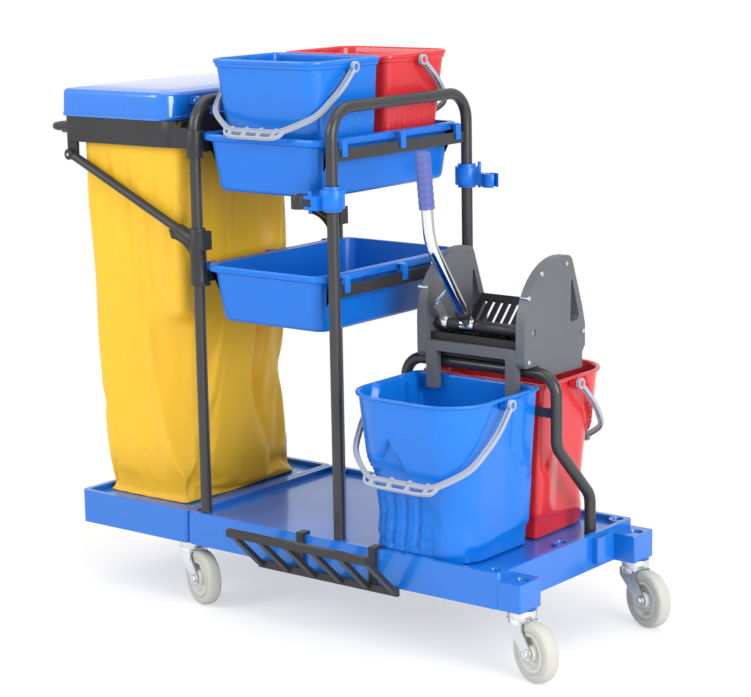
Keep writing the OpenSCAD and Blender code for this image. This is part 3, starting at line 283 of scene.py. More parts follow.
tray_blue = plastic("tray_blue", (0.003, 0.130, 0.54), 0.28)
tray_wall = 0.003
tray_depth = 0.101
tray_taper = (0.006, 0.013)
tray_overhang = 0.018
rim_band = 0.012
bar_drop = 0.026
frame_gap = 0.0115
for tray in ["upper_tray", "lower_tray"]:
    low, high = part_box(tray)
    x0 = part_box("bag_side_frame")[0].x + 0.010 + frame_gap
    x1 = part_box("bucket_side_frame")[1].x - 0.010 - frame_gap
    y0, y1, top = low.y, high.y, high.z
    floor = top - tray_depth
    wide = (x0 + tray_overhang, x1 - tray_overhang, y0 + 0.005, y1 - 0.005, 0.024, 0.024)
    narrow = (x0 + tray_overhang + tray_taper[0], x1 - tray_overhang - tray_taper[0],
              y0 + 0.005 + tray_taper[1],
              y1 - 0.005 - tray_taper[1], 0.026, 0.026)
    rim = outline(x0, x1, y0, y1, 0.034, 0.034)
    rings = []
    for drop, inset in [(0.0, 0.016), (0.0, 0.009), (0.0012, 0.0045), (0.0045, 0.0012), (0.010, 0.0)]:
        level = outline(*blend_sizes(narrow, wide, drop / (tray_depth - rim_band)))
        rings.append(raised(level, floor + drop, -inset))
    for t in [0.3, 0.55, 0.8, 0.97]:
        level = outline(*blend_sizes(narrow, wide, t))
        rings.append(raised(level, floor + t * (tray_depth - rim_band)))
    for drop, inset in [(rim_band + 0.001, 0.004), (rim_band, 0.0012), (rim_band - 0.0012, 0.0),
                        (0.0035, 0.0), (0.001, 0.0009), (0.0, 0.003)]:
        rings.append(raised(rim, top - drop, -inset))
    for t, inset in [(1.13, 0.0005), (1.115, 0.0), (0.7, 0.0), (0.4, 0.0), (0.12, 0.0), (0.06, 0.0015),
                     (0.038, 0.006), (0.034, 0.014)]:
        level = outline(*blend_sizes(narrow, wide, min(t, 1.12)))
        rings.append(raised(level, floor + min(t * (tray_depth - rim_band), tray_depth - 0.001),
                            -inset - tray_wall))
    bm = bmesh.new()
    loft(bm, rings)
    for side, bar_x, edge_x in [(-1, x0 - frame_gap, x0), (1, x1 + frame_gap, x1)]:
        bar_z = top - bar_drop
        for y in [(y0 + y1) / 2 - 0.160, (y0 + y1) / 2, (y0 + y1) / 2 + 0.160]:
            # Hook: a strip that arches over the flat bar and comes down outside it
            arch = [(edge_x - side * 0.002, top - 0.0025)]
            arch += [(bar_x + side * 0.0037 * math.sin(a) if a > 0 else bar_x - side * 0.0035,
                      top - 0.0015 - 0.004 * (1 - math.cos(a))) for a in [0, 0.6, 1.1, 1.5]]
            arch.append((bar_x + side * 0.0038, bar_z - 0.003))
            rings = []
            for k, (x, z) in enumerate(arch):
                here, there = arch[max(k - 1, 0)], arch[min(k + 1, len(arch) - 1)]
                way = Vector((there[0] - here[0], 0, there[1] - here[1])).normalized()
                across = Vector((-way.z, 0, way.x)) * 0.0014
                centre = Vector((x, y, z))
                rings.append([centre + across * s + Vector((0, w, 0))
                              for s, w in [(1, -0.007), (1, 0.007), (-1, 0.007), (-1, -0.007)]])
            loft(bm, rings)
            block(bm, (bar_x - 0.0018, y - 0.0068, bar_z + 0.0105),
                  (bar_x + 0.0018, y + 0.0068, top - 0.003))
        # Gussets: thin webs from the rim's ends down the tapered wall
        for y in [y0 + 0.026, y1 - 0.026]:
            web = bmesh.ops.create_grid(bm, x_segments=1, y_segments=1, size=0.5)["verts"]
            web.sort(key=lambda v: (v.co.x, v.co.y))
            wall_x = edge_x - side * tray_overhang
            corners = [(edge_x - side * 0.001, top - rim_band), (wall_x - side * 0.0035, top - 0.052),
                       (wall_x - side * 0.001, top - rim_band), (wall_x - side * 0.005, top - 0.050)]
            for v, (x, z) in zip(web, corners):
                v.co = (x, y, z)
            faces = list(dict.fromkeys(f for v in web for f in v.link_faces))
            bmesh.ops.solidify(bm, geom=faces, thickness=0.003)
    piece(tray + "_tub", bm, tray, tray_blue, [tray], 0.0006)

# Buckets: tapered tubs with a rolled lip, front-rounded so that they pour, and turned back to
# back in pairs. The large ones have a swelling under the lip, a grip recess with four grooves
# and a sunk strip at the back of each side; the small ones have ribbed ends.


def ramp(value, start, end):
    t = max(0.0, min(1.0, (value - start) / (end - start)))
    return t * t * (3 - 2 * t)


def large_wall(x, y, way, z):
    """How far the large bucket's wall is moved outwards, by place from its front middle."""
    # Swelling under the lip: its lower edge is a wide curve with one pointed notch
    edge = 0.133 + 6.8 * max(0.0, abs(way) - 0.040) ** 2
    notch = 0.204 - abs(way + 0.036) * 1.65
    under = 1 - ramp(z, max(edge, notch) - 0.002, max(edge, notch) + 0.002)
    out = -0.009 * under * ramp(z, 0.01, 0.07) * (1 - ramp(y, 0.150, 0.190))
    # Grip recess with slanting grooves, round at its top right corner
    corner = math.hypot(max(0.0, x - 0.008), max(0.0, z - 0.080))
    inside = (1 - ramp(corner, 0.026, 0.031)) * ramp(x, -0.100, -0.094) * ramp(z, 0.010, 0.016)
    inside *= 1 - ramp(y, 0.085, 0.095)
    out -= 0.0022 * inside
    for groove in [-0.074, -0.048, -0.023, 0.004]:
        off = abs(x - groove - (z - 0.055) * 0.10)
        out -= 0.005 * inside * (1 - ramp(off, 0.002, 0.006))
    # Sunk strip at the back of each side, and the side's foot drawn in
    strip = 0.160 + 0.040 * ramp(z, 0.185, 0.125) if z > 0.125 else 0.3
    sunk = 0.0028 * ramp(y, strip - 0.002, strip + 0.002)
    out -= sunk * (1 - ramp(y, 0.214, 0.222)) * (1 - ramp(z, 0.262, 0.266))
    foot = 0.020 + 0.022 * y / 0.2
    if abs(way) > 0.10:
        out -= 0.005 * (1 - ramp(z, foot - 0.012, foot + 0.002))
    return out


def small_wall(x, y, way, z):
    """The small bucket's wall: a step above the foot, and ribs in an arched panel on each end."""
    out = -0.0016 * (1 - ramp(z, 0.010, 0.013))
    middle_y = 0.100
    if abs(x) > 0.08:
        corner = math.hypot(max(0.0, abs(y - middle_y) - 0.030), max(0.0, z - 0.120))
        inside = (1 - ramp(corner, 0.020, 0.024)) * ramp(z, 0.014, 0.018)
        out -= 0.0022 * inside
        for k in range(-3, 4):
            out += 0.002 * inside * (1 - ramp(abs(y - middle_y - k * 0.014), 0.001, 0.004))
    return out


pin_drop = 0.013        # the bail pins' height under the rim
large_pin_y = 0.128     # and their distance from the bucket's front
small_pin_y = 0.100


def bucket(name, node, finish, body, faces_back, size, wall_shape, lip):
    """size is height, slant of the front, taper of the ends, and the corners' radii at the front,
    the back and the foot; lip is (inset, drop) pairs over the rim from under its lip."""
    height, slant, taper, front_r, back_r, foot_r = size
    low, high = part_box(node)
    pin_reach, wall, lip_reach = 0.009, 0.003, 0.005
    x0, x1 = low.x + pin_reach + lip_reach, high.x - pin_reach - lip_reach
    deep = high.y - low.y
    y0, y1 = lip_reach, deep - lip_reach
    mid_x = (x0 + x1) / 2
    top = (x0, x1, y0, y1, front_r - lip_reach, back_r - lip_reach)
    foot = (x0 + taper, x1 - taper, y0 + slant, y1 - 0.003, foot_r, back_r - lip_reach)

    def level(t, inset=0.0, shaped=1.0, inner=0.0):
        base = outline(*blend_sizes(foot, top, t))
        ring = []
        for p, n, way in base:
            out = wall_shape(p.x - mid_x, p.y, way, t * height) * shaped - inset - inner
            ring.append(p + n * out + Vector((0, 0, low.z + t * height)))
        return ring

    rings = [level(0.0, 0.014, 0), level(0.0, 0.006), level(0.004, 0.002), level(0.012)]
    steps = 52
    rings += [level(0.02 + 0.945 * k / steps) for k in range(steps + 1)]
    for inset, drop in lip:
        rings.append(level(1 - drop / height, inset, 0))
    rings += [level(0.985 - 0.945 * k / 26, wall) for k in range(27)]
    rings += [level(0.03, wall + 0.002), level(0.02, wall + 0.008, 0), level(0.018, wall + 0.02, 0)]
    bm = bmesh.new()
    loft(bm, rings)
    # Bosses and pins that carry the bail, at each end under the rim
    pin_y = large_pin_y if height > 0.25 else small_pin_y
    pin_z = low.z + height - pin_drop
    for side in (-1, 1):
        end = mid_x + side * ((x1 - x0) / 2 + lip_reach)
        drum(bm, Vector((end - side * 0.0055, pin_y, pin_z)), (1, 0, 0), 0.0105, 0.011)
        drum(bm, Vector((end, pin_y, pin_z)), (1, 0, 0), 0.0049, 0.0178)
    if faces_back:
        bmesh.ops.scale(bm, vec=(1, -1, 1), verts=bm.verts)
        bmesh.ops.translate(bm, vec=(0, deep, 0), verts=bm.verts)
    bmesh.ops.translate(bm, vec=(0, low.y, 0), verts=bm.verts)
    piece(name, bm, body, finish, [node], 0.0, 50)


bucket_blue = polish(plastic("bucket_blue", (0.003, 0.138, 0.55), 0.26, 0.06), 0.15, 0.06)
bucket_red = polish(plastic("bucket_red", (0.54, 0.022, 0.030), 0.26, 0.06), 0.25, 0.06)
large_size = (0.276, 0.039, 0.018, 0.080, 0.016, 0.056)
small_size = (0.226, 0.030, 0.014, 0.036, 0.020, 0.030)
large_lip = [(0.0, 0.0062), (-0.0038, 0.0048), (-0.0049, 0.0038), (-0.0049, 0.0014), (-0.0042, 0.0004),
             (-0.002, 0.0), (0.001, 0.0), (0.0026, 0.0012)]
small_lip = [(0.0, 0.0145), (-0.0022, 0.014), (-0.0029, 0.0125), (-0.003, 0.008), (-0.0046, 0.007),
             (-0.0049, 0.003), (-0.004, 0.0008), (-0.002, 0.0), (0.001, 0.0), (0.0026, 0.0012)]
bucket("large_blue_tub", "large_blue_bucket", bucket_blue, "cart", False, large_size, large_wall, large_lip)
bucket("large_red_tub", "large_red_bucket", bucket_red, "cart", True, large_size, large_wall, large_lip)
bucket("small_blue_tub", "small_blue_bucket", bucket_blue, "small_blue_bucket", False, small_size,
       small_wall, small_lip)
bucket("small_red_tub", "small_red_bucket", bucket_red, "small_red_bucket", True, small_size,
       small_wall, small_lip)

# Bails: grey moulded arches with a channel along each face, a bored eye at each end and a grip
# with three slots and finger bumps. They hang forward on the buckets' pins.


def curve_through(points, steps):
    """A smooth line through the points."""
    spread = [2 * points[0] - points[1]] + points + [2 * points[-1] - points[-2]]
    line = []
    for a, b, c, d in zip(spread, spread[1:], spread[2:], spread[3:]):
        for k in range(steps):
            t = k / steps
            line.append(0.5 * (2 * b + (c - a) * t + (2 * a - 5 * b + 4 * c - d) * t ** 2
                               + (3 * b - a - 3 * c + d) * t ** 3))
    return line + [points[-1]]


def sweep(bm, line, section, side):
    """Runs a closed section of (across, up) points along a line that lies square to side."""
    side = Vector(side)
    rings = []
    for k, p in enumerate(line):
        way = (line[min(k + 1, len(line) - 1)] - line[max(k - 1, 0)]).normalized()
        up = side.cross(way)
        rings.append([p + side * a + up * b for a, b in section])
    loft(bm, rings)


bail_grey = plastic("bail_grey", (0.30, 0.33, 0.40), 0.35, 0.1)
channelled = [(0.0036, -0.0045), (0.0036, -0.0026), (0.0018, -0.0022), (0.0018, 0.0022), (0.0036, 0.0026),
              (0.0036, 0.0045), (-0.0036, 0.0045), (-0.0036, 0.0026), (-0.0018, 0.0022),
              (-0.0018, -0.0022), (-0.0036, -0.0026), (-0.0036, -0.0045)]
plain_bar = [(0.0033, -0.0022), (0.0033, 0.0022), (-0.0033, 0.0022), (-0.0033, -0.0022)]


def bail(name, node, bucket_node, drop, grip_half, swing, faces_back):
    low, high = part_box(bucket_node)
    mid_x = (low.x + high.x) / 2
    half = (high.x - low.x) / 2 - 0.0035
    bm = bmesh.new()
    arm = [Vector((half, 0, -0.006)), Vector((half + 0.001, 0, -0.30 * drop)),
           Vector((half - 0.005, 0, -0.52 * drop)), Vector((half * 0.86, 0, -0.75 * drop)),
           Vector((grip_half + 0.008, 0, -0.945 * drop)), Vector((grip_half - 0.012, 0, -drop - 0.001))]
    half_line = curve_through(arm, 7)
    line = half_line + [Vector((-p.x, 0, p.z)) for p in reversed(half_line)]
    sweep(bm, line, channelled, (0, 1, 0))
    for side in (-1, 1):
        eyelet(bm, Vector((side * half, 0, 0)), Vector((1, 0, 0)), 0.0053, 0.0095, 0.0035)
    # Grip: a second bar outside the arch, joined by cross webs, with bumps for the fingers
    rail = [Vector((-grip_half - 0.004, 0, -0.968 * drop - 0.001)),
            Vector((-grip_half + 0.010, 0, -drop - 0.0125)),
            Vector((0, 0, -drop - 0.0145)), Vector((grip_half - 0.010, 0, -drop - 0.0125)),
            Vector((grip_half + 0.004, 0, -0.968 * drop - 0.001))]
    sweep(bm, curve_through(rail, 8), plain_bar, (0, 1, 0))
    for k in (-1.5, -0.5, 0.5, 1.5):
        x = k * grip_half * 0.52
        block(bm, (x - 0.004, -0.0032, -drop - 0.014), (x + 0.004, 0.0032, -drop + 0.002))
        drum(bm, Vector((x, 0, -drop + 0.003)), (0, 1, 0), 0.0042, 0.0064, 20)
    hang = Matrix.Rotation(math.radians(-swing), 3, "X")
    bmesh.ops.rotate(bm, cent=(0, 0, 0), matrix=hang, verts=bm.verts)
    if faces_back:
        bmesh.ops.scale(bm, vec=(1, -1, 1), verts=bm.verts)
    pin_y = large_pin_y if drop > 0.16 else small_pin_y
    pin_z = high.z - pin_drop
    y = high.y - pin_y if faces_back else low.y + pin_y
    bmesh.ops.translate(bm, vec=(mid_x, y, pin_z), verts=bm.verts)
    piece(name, bm, node, bail_grey, [node], 0.0005, 50)


bail("large_blue_bail_arch", "large_blue_bail", "large_blue_bucket", 0.176, 0.072, 45, False)
bail("large_red_bail_arch", "large_red_bail", "large_red_bucket", 0.176, 0.072, 45, True)
bail("small_blue_bail_arch", "small_blue_bail", "small_blue_bucket", 0.156, 0.062, 48, False)
bail("small_red_bail_arch", "small_red_bail", "small_red_bucket", 0.156, 0.062, 48, True)

# Wringer: grey moulded cheeks and crossbar, a black basket and press plate, a chromed lever with
# a galvanised brace, and a violet rubber grip. They keep their CAD shapes with softened edges.
wringer_grey = plastic("wringer_grey", (0.095, 0.101, 0.113), 0.42, 0.35)
basket_black = plastic("basket_black", (0.018, 0.018, 0.02), 0.4, 0.3)
chrome = metal("chrome", (0.62, 0.62, 0.64), 0.10)
grip_violet = plastic("grip_violet", (0.075, 0.095, 0.30), 0.5, 0.4)
dress(wringer_grey, ["wringer_left_cheek", "wringer_right_cheek"], 0.004)
dress(wringer_grey, ["wringer_crossbar"], 0.001)
dress(basket_black, ["wringer_basket", "press_plate", "lever_clamp"], 0.0006)
dress(zinc, ["wringer_shaft", "lever_brace", "cheek_screws"], 0.0004)
dress(chrome, ["wringer_lever"])
dress(grip_violet, ["lever_grip"])

# Bag holder: a black moulded ring on the posts with its struts and brackets, a push bar, and a
# hinged blue lid with a crowned top. Ring, struts and bar keep their CAD shapes.
black = plastic("black", (0.022, 0.022, 0.024), 0.4, 0.35)
dress(black, ["bag_frame", "front_strut_bracket", "back_strut_bracket", "front_clip_jaw"], 0.0008)
dress(black, ["push_handle", "front_strut", "back_strut"])
dress(zinc, ["platform_bolts", "lid_hinge_pins", "strut_pins"])
lid_blue = polish(plastic("lid_blue", (0.003, 0.135, 0.55), 0.26, 0.06), 1.0, 0.07, 1.5)
low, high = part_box("bag_lid")
lid_right = middle("lid_hinge_pins").x - 0.013
lid_left_r = 0.012
lid_right_r = 0.040
tall = high.z - low.z


def turned(base):
    """The outline with its X and Y exchanged, walked the same way round."""
    swapped = [(Vector((p.y, p.x, p.z)), Vector((n.y, n.x, 0)), way) for p, n, way in base]
    return list(reversed(swapped))


def lid_ring(inset, z):
    """The lid's outline drawn in by an inset: its corners are tight at the push handle's end."""
    left_r, right_r = max(0.003, lid_left_r - inset), max(0.006, lid_right_r - inset)
    base = outline(low.y + inset, high.y - inset, low.x + inset, lid_right - inset, left_r, right_r,
                   (40, 8, 24, 16, 36))
    return raised(turned(base), z)


outer = [lid_ring(0.0030, low.z), lid_ring(0.0004, low.z), lid_ring(0.0, low.z + 0.0015),
         lid_ring(0.0, low.z + 0.006), lid_ring(0.0012, low.z + 0.0068)]
outer += [lid_ring(0.0012 + 0.0016 * t, low.z + 0.0068 + (tall - 0.0198) * t) for t in (0.33, 0.66, 1.0)]
for quarter in (0.25, 0.5, 0.75, 1.0):
    a = quarter * math.pi / 2
    outer.append(lid_ring(0.0028 + 0.009 * (1 - math.cos(a)), high.z - 0.013 + 0.0085 * math.sin(a)))
outer += [lid_ring(0.020, high.z - 0.0038), lid_ring(0.022, high.z - 0.0030),
          lid_ring(0.05, high.z - 0.0012), lid_ring(0.09, high.z), lid_ring(0.122, high.z)]
inner = [lid_ring(0.0030, low.z), lid_ring(0.0044, high.z - 0.012), lid_ring(0.014, high.z - 0.0068),
         lid_ring(0.05, high.z - 0.0042), lid_ring(0.122, high.z - 0.003)]
bm = bmesh.new()
loft(bm, outer, caps=False)
loft(bm, inner, caps=False)
for z in (high.z, high.z - 0.003):
    rim = [e for e in bm.edges if e.is_boundary and all(abs(v.co.z - z) < 1e-6 for v in e.verts)]
    bmesh.ops.edgeloop_fill(bm, edges=rim)
pins_low, pins_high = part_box("lid_hinge_pins")
hinge = middle("lid_hinge_pins")
knuckle_r = 0.007
for y in (pins_low.y + 0.020, pins_high.y - 0.020):
    for side in (-1, 1):
        a = y + side * (0.011 + 0.0033)
        block(bm, (lid_right - 0.002, a - 0.003, hinge.z - knuckle_r),
              (hinge.x - 0.0036, a + 0.003, hinge.z + knuckle_r))
        eyelet(bm, Vector((hinge.x, a, hinge.z)), Vector((0, 1, 0)), 0.0033, knuckle_r, 0.003)
piece("bag_lid_cover", bm, "lid", lid_blue, ["bag_lid"], 0.0, 50)

# Waste bag: a sack of coated yellow nylon, hung open inside the ring and standing on the
# platform. It is sewn from one wall and a floor. Its slack gathers in folds above the foot,
# pinches at the back and caves in at the front corner.


def coated_cloth(name, colour):
    """Nylon with a rubbed-on coating: a close weave, soft crumples and a broad shine."""
    finish = plastic(name, colour, 0.40, 0.0, 0.04)
    nodes, links = finish.node_tree.nodes, finish.node_tree.links
    shader = nodes["Principled BSDF"]
    place = nodes.new("ShaderNodeTexCoord")
    stretch = nodes.new("ShaderNodeMapping")
    stretch.inputs["Scale"].default_value = (1.0, 1.0, 0.45)
    links.new(place.outputs["Object"], stretch.inputs["Vector"])
    crumple = nodes.new("ShaderNodeTexNoise")
    crumple.inputs["Scale"].default_value = 22.0
    crumple.inputs["Detail"].default_value = 4.0
    crumple.inputs["Distortion"].default_value = 1.2
    links.new(stretch.outputs["Vector"], crumple.inputs["Vector"])
    weave = nodes.new("ShaderNodeTexChecker")
    weave.inputs["Scale"].default_value = 1400.0
    links.new(place.outputs["Object"], weave.inputs["Vector"])
    under = nodes.new("ShaderNodeBump")
    under.inputs["Strength"].default_value = 0.22
    under.inputs["Distance"].default_value = 0.003
    links.new(crumple.outputs["Fac"], under.inputs["Height"])
    threads = nodes.new("ShaderNodeBump")
    threads.inputs["Strength"].default_value = 0.10
    threads.inputs["Distance"].default_value = 0.0002
    links.new(weave.outputs["Fac"], threads.inputs["Height"])
    links.new(under.outputs["Normal"], threads.inputs["Normal"])
    links.new(threads.outputs["Normal"], shader.inputs["Normal"])
    shader.inputs["Specular IOR Level"].default_value = 0.3
    shader.inputs["Subsurface Weight"].default_value = 0.35
    shader.inputs["Subsurface Scale"].default_value = 0.02
    shader.inputs["Subsurface Radius"].default_value = (1.0, 0.40, 0.05)
    return finish


bag_yellow = coated_cloth("bag_yellow", (0.98, 0.47, 0.02))
low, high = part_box("waste_bag")
bag_top = (low.x, high.x, low.y, high.y, 0.024, 0.024)
platform_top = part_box("bag_platform")[1].z
bag_foot = (low.x + 0.002, high.x - 0.038, low.y + 0.0235, high.y - 0.014, 0.016, 0.016)
around = (30, 4, 40, 4, 30)
bag_steps = 66
bag_tall = high.z - low.z
rest_z = low.z
drawn_in = 0.058                # how far the slack back wall hangs in from the ring
cave_top = (0.122, 0.340)       # top left of the caved-in front corner: X from the left, and height
cave_foot = (0.205, 0.030)      # where its crease meets the foot
cave_slope = 0.52


def bag_fold(p, way, t):
    """Moves a point of the smooth bag to where the main folds put it."""
    x, z = p.x - low.x, t * bag_tall
    depth = (p.y - low.y) / (high.y - low.y)
    # Back wall, drawn in between ring and foot, with a pinch at a third of the height
    waist = ramp(t, 0.0, 0.30) * (1 - ramp(t, 0.80, 1.0))
    pinch = math.exp(-((t - 0.335) / 0.05) ** 2)
    p.y -= (drawn_in * waist + 0.012 * pinch) * ramp(depth, 0.25, 1.0)
    # The side wall's slack hangs in one long fold near the back corner, and one soft hollow
    right = ramp(x, 0.18, 0.24)
    left = 1 - ramp(x, 0.01, 0.06)
    fold = math.exp(-((depth - 0.74 + 0.05 * math.sin(5 * t)) / 0.045) ** 2)
    hollow = math.exp(-((depth - 0.38 - 0.10 * t) / 0.16) ** 2)
    p.x -= (right - left) * waist * (0.026 * fold + 0.008 * hollow)
    # Caved-in front corner under a level crease
    run, rise = cave_foot[0] - cave_top[0], cave_foot[1] - cave_top[1]
    span = math.hypot(run, rise)
    beyond = ((x - cave_top[0]) * -rise + (z - cave_top[1]) * run) / span
    rising = 0.10 * (x - cave_top[0])
    under = 1 - ramp(z, cave_top[1] - 0.004 + rising, cave_top[1] + 0.016 + rising)
    cave = max(0.0, beyond) * cave_slope * under * ramp(z, 0.0, 0.06) * (1 - ramp(depth, 0.05, 0.45))
    p.y += cave
    p.x -= 0.35 * cave * right
    # Notch in the left front edge
    notch = math.exp(-((z - 0.180) / 0.020) ** 2) * (1 - ramp(x, 0.0, 0.07)) * (1 - ramp(depth, 0.0, 0.25))
    p.x += 0.006 * notch
    p.y += 0.006 * notch
    # Long soft pleats on the front wall, and tucks just under the ring
    front = 1 - ramp(depth, 0.0, 0.2)
    p.y -= front * 0.0035 * math.sin(way * 60 + 1.2 * t) * ramp(t, 0.45, 0.8) * (1 - ramp(t, 0.92, 1.0))
    p.y -= front * 0.004 * math.exp(-((x - 0.062 - 0.02 * t) / 0.010) ** 2) * ramp(t, 0.5, 0.62)
    return p


def bag_ring(t):
    """The bag's outline at a share of its height, with folds and crumples."""
    base = outline(*blend_sizes(bag_foot, bag_top, t), around)
    free = math.sin(math.pi * min(1.0, 0.04 + t)) if t < 0.5 else math.sin(math.pi * t)
    ring = []
    for p, n, way in base:
        z = rest_z + t * bag_tall
        seed = Vector((p.x * 5.5, p.y * 5.5, z * 3.4))
        ridge = 1 - 2.2 * abs(noise.noise(seed + Vector((3.1, 0, 0))))
        low_down = 0.7 + 1.3 * (1 - ramp(t, 0.12, 0.42))
        out = 0.0050 * (ridge - 0.5) * low_down * min(1.0, 3 * free)
        if t < 0.03:        # the foot stays inside the platform's rim
            out = min(out, 0.0)
        q = bag_fold(Vector((p.x, p.y, 0)), way, t)
        ring.append(q + n * out + Vector((0, 0, z)))
    return ring


bm = bmesh.new()
loft(bm, [bag_ring(1 - k / bag_steps) for k in range(bag_steps + 1)], caps=False)
foot_edges = [e for e in bm.edges if e.is_boundary and all(v.co.z < rest_z + 0.001 for v in e.verts)]
for inset in (0.016, 0.034, 0.052, 0.070, 0.088):
    grown = bmesh.ops.extrude_edge_only(bm, edges=foot_edges)["geom"]
    station = bm.verts.layers.int["station"]
    level = outline(bag_foot[0] + inset, bag_foot[1] - inset, bag_foot[2] + inset, bag_foot[3] - inset,
                    0.006, 0.006, around)
    for v in [g for g in grown if isinstance(g, bmesh.types.BMVert)]:
        v.co = level[v[station]][0] + Vector((0, 0, rest_z + 0.0006))
    foot_edges = [g for g in grown if isinstance(g, bmesh.types.BMEdge)]
bmesh.ops.edgeloop_fill(bm, edges=foot_edges)
sack = piece("waste_sack", bm, "cart", bag_yellow, ["waste_bag"], 0.0, 180)


def let_slack_hang(cloth_piece, frames, most, slack):
    """Lets the cloth settle under its weight, held at the ring and the foot, a little longer than
    it was drawn, and keeps every point within a distance of where it was drawn."""
    drawn = [v.co.copy() for v in cloth_piece.data.vertices]
    held = cloth_piece.vertex_groups.new(name="held")
    for v in cloth_piece.data.vertices:
        share = (v.co.z - rest_z) / bag_tall
        grip = max(1 - ramp(share, 0.0, 0.02), ramp(share, 0.955, 0.975))
        held.add([v.index], grip, "REPLACE")
    cloth = cloth_piece.modifiers.new("hang", "CLOTH")
    cloth.settings.quality = 6
    cloth.settings.mass = 0.25
    cloth.settings.tension_stiffness = 25
    cloth.settings.compression_stiffness = 25
    cloth.settings.shear_stiffness = 12
    cloth.settings.bending_stiffness = 0.35
    cloth.settings.tension_damping = 12
    cloth.settings.air_damping = 4
    cloth.settings.vertex_group_mass = "held"
    cloth.settings.shrink_min = -slack
    cloth.collision_settings.use_collision = False
    cloth.point_cache.frame_end = frames
    scene = bpy.context.scene
    for frame_no in range(1, frames + 1):
        scene.frame_set(frame_no)
    settled = cloth_piece.evaluated_get(bpy.context.evaluated_depsgraph_get()).data
    hung = [v.co.copy() for v in settled.vertices]
    cloth_piece.modifiers.remove(cloth)
    cloth_piece.vertex_groups.remove(held)
    scene.frame_set(1)
    for v, was, now in zip(cloth_piece.data.vertices, drawn, hung):
        move = now - was
        if move.length > most:
            move *= most / move.length
        v.co = was + move
        v.co.y = max(v.co.y, low.y)
        v.co.z = max(v.co.z, rest_z + 0.0003)
        if v.co.z < platform_top + 0.003:
            v.co.x = max(v.co.x, bag_foot[0] - 0.001)


let_slack_hang(sack, 24, 0.014, 0.02)
smooth = sack.modifiers.new("smooth", "SUBSURF")
smooth.levels = 1
smooth.render_levels = 1
thick = sack.modifiers.new("cloth", "SOLIDIFY")
thick.thickness = 0.0006
thick.offset = -1

# Broom rest, mop clips: black and blue mouldings with softened edges.
dress(black, ["broom_rest"], 0.002)
dress(tray_blue, ["front_clip_collar", "back_clip_collar", "clip_pins"], 0.001)

# Floor and backdrop: plain white paper that keeps a soft shadow near the cart and fades into
# the white world further out
bm = bmesh.new()
bmesh.ops.create_grid(bm, x_segments=1, y_segments=1, size=20.0)
floor_mesh = bpy.data.meshes.new("floor")
bm.to_mesh(floor_mesh)
bm.free()
floor = bpy.data.objects.new("floor", floor_mesh)
bpy.context.scene.collection.objects.link(floor)
paper = bpy.data.materials.new("paper")
paper.use_nodes = True
nodes, links = paper.node_tree.nodes, paper.node_tree.links
nodes["Principled BSDF"].inputs["Base Color"].default_value = (0.88, 0.88, 0.88, 1)
nodes["Principled BSDF"].inputs["Roughness"].default_value = 0.9
nodes["Principled BSDF"].inputs["Specular IOR Level"].default_value = 0.0
glow = nodes.new("ShaderNodeEmission")
place = nodes.new("ShaderNodeTexCoord")
reach = nodes.new("ShaderNodeVectorMath")
reach.operation = "LENGTH"
links.new(place.outputs["Object"], reach.inputs[0])
fade = nodes.new("ShaderNodeMapRange")
fade.interpolation_type = "SMOOTHSTEP"
fade.inputs["From Min"].default_value = 0.55
fade.inputs["From Max"].default_value = 1.35
fade.inputs["To Min"].default_value = 0.55
links.new(reach.outputs["Value"], fade.inputs["Value"])
seen = nodes.new("ShaderNodeLightPath")
only_seen = nodes.new("ShaderNodeMath")
only_seen.operation = "MULTIPLY"
links.new(fade.outputs["Result"], only_seen.inputs[0])
links.new(seen.outputs["Is Camera Ray"], only_seen.inputs[1])
mixed = nodes.new("ShaderNodeMixShader")
links.new(only_seen.outputs["Value"], mixed.inputs["Fac"])
links.new(nodes["Principled BSDF"].outputs["BSDF"], mixed.inputs[1])
links.new(glow.outputs["Emission"], mixed.inputs[2])
links.new(mixed.outputs["Shader"], nodes["Material Output"].inputs["Surface"])
floor_mesh.materials.append(paper)


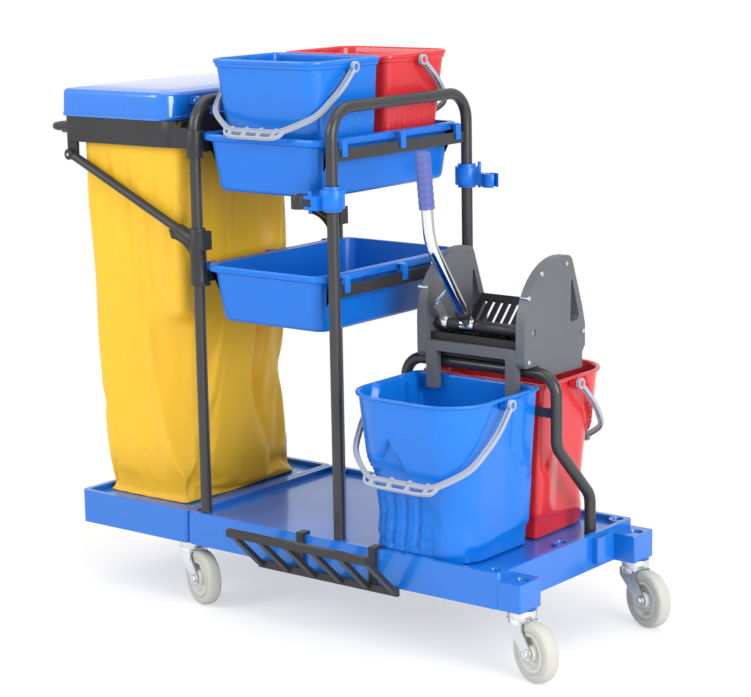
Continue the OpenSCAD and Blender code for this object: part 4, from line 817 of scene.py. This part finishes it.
# Soft studio light: a broad key from the front left, a fill from the right and a top panel
def panel(name, place, aim, width, height, power):
    data = bpy.data.lights.new(name, "AREA")
    data.shape = "RECTANGLE"
    data.size = width
    data.size_y = height
    data.energy = power
    lamp = bpy.data.objects.new(name, data)
    lamp.location = place
    lamp.rotation_euler = (Vector(aim) - Vector(place)).to_track_quat("-Z", "Y").to_euler()
    bpy.context.scene.collection.objects.link(lamp)


panel("key", (-2.2, -3.6, 2.6), (0, 0, 0.5), 2.5, 2.0, 105)
panel("fill", (3.6, -1.2, 1.6), (0, 0, 0.4), 2.0, 2.0, 130)
panel("top", (0.3, 0.2, 3.6), (0, 0, 0.3), 3.0, 3.0, 50)
world = bpy.data.worlds.new("world")
world.use_nodes = True
nodes, links = world.node_tree.nodes, world.node_tree.links
nodes["Background"].inputs["Color"].default_value = (1, 1, 1, 1)
seen = nodes.new("ShaderNodeLightPath")
direct = nodes.new("ShaderNodeMath")
direct.operation = "MAXIMUM"
links.new(seen.outputs["Is Camera Ray"], direct.inputs[0])
links.new(seen.outputs["Is Glossy Ray"], direct.inputs[1])
through = nodes.new("ShaderNodeMath")
through.operation = "MAXIMUM"
links.new(direct.outputs["Value"], through.inputs[0])
links.new(seen.outputs["Is Transmission Ray"], through.inputs[1])
level = nodes.new("ShaderNodeMapRange")
level.inputs["To Min"].default_value = 0.8
level.inputs["To Max"].default_value = 1.0
links.new(through.outputs["Value"], level.inputs["Value"])
links.new(level.outputs["Result"], nodes["Background"].inputs["Strength"])
bpy.context.scene.world = world

# Camera: a long lens at chest height, turned to the right of the cart's front
lens = bpy.data.cameras.new("camera")
lens.lens = 107.5
lens.sensor_width = 36
camera = bpy.data.objects.new("camera", lens)
turn = Matrix.Rotation(math.radians(38.38), 4, "Z") @ Matrix.Rotation(math.radians(90 - 11.19), 4, "X")
roll = Matrix.Rotation(math.radians(-1.04), 4, "Z")
camera.matrix_world = Matrix.Translation((2.4618, -3.0214, 1.2375)) @ turn @ roll
bpy.context.scene.collection.objects.link(camera)
bpy.context.scene.camera = camera
bpy.context.scene.view_settings.view_transform = "Standard"
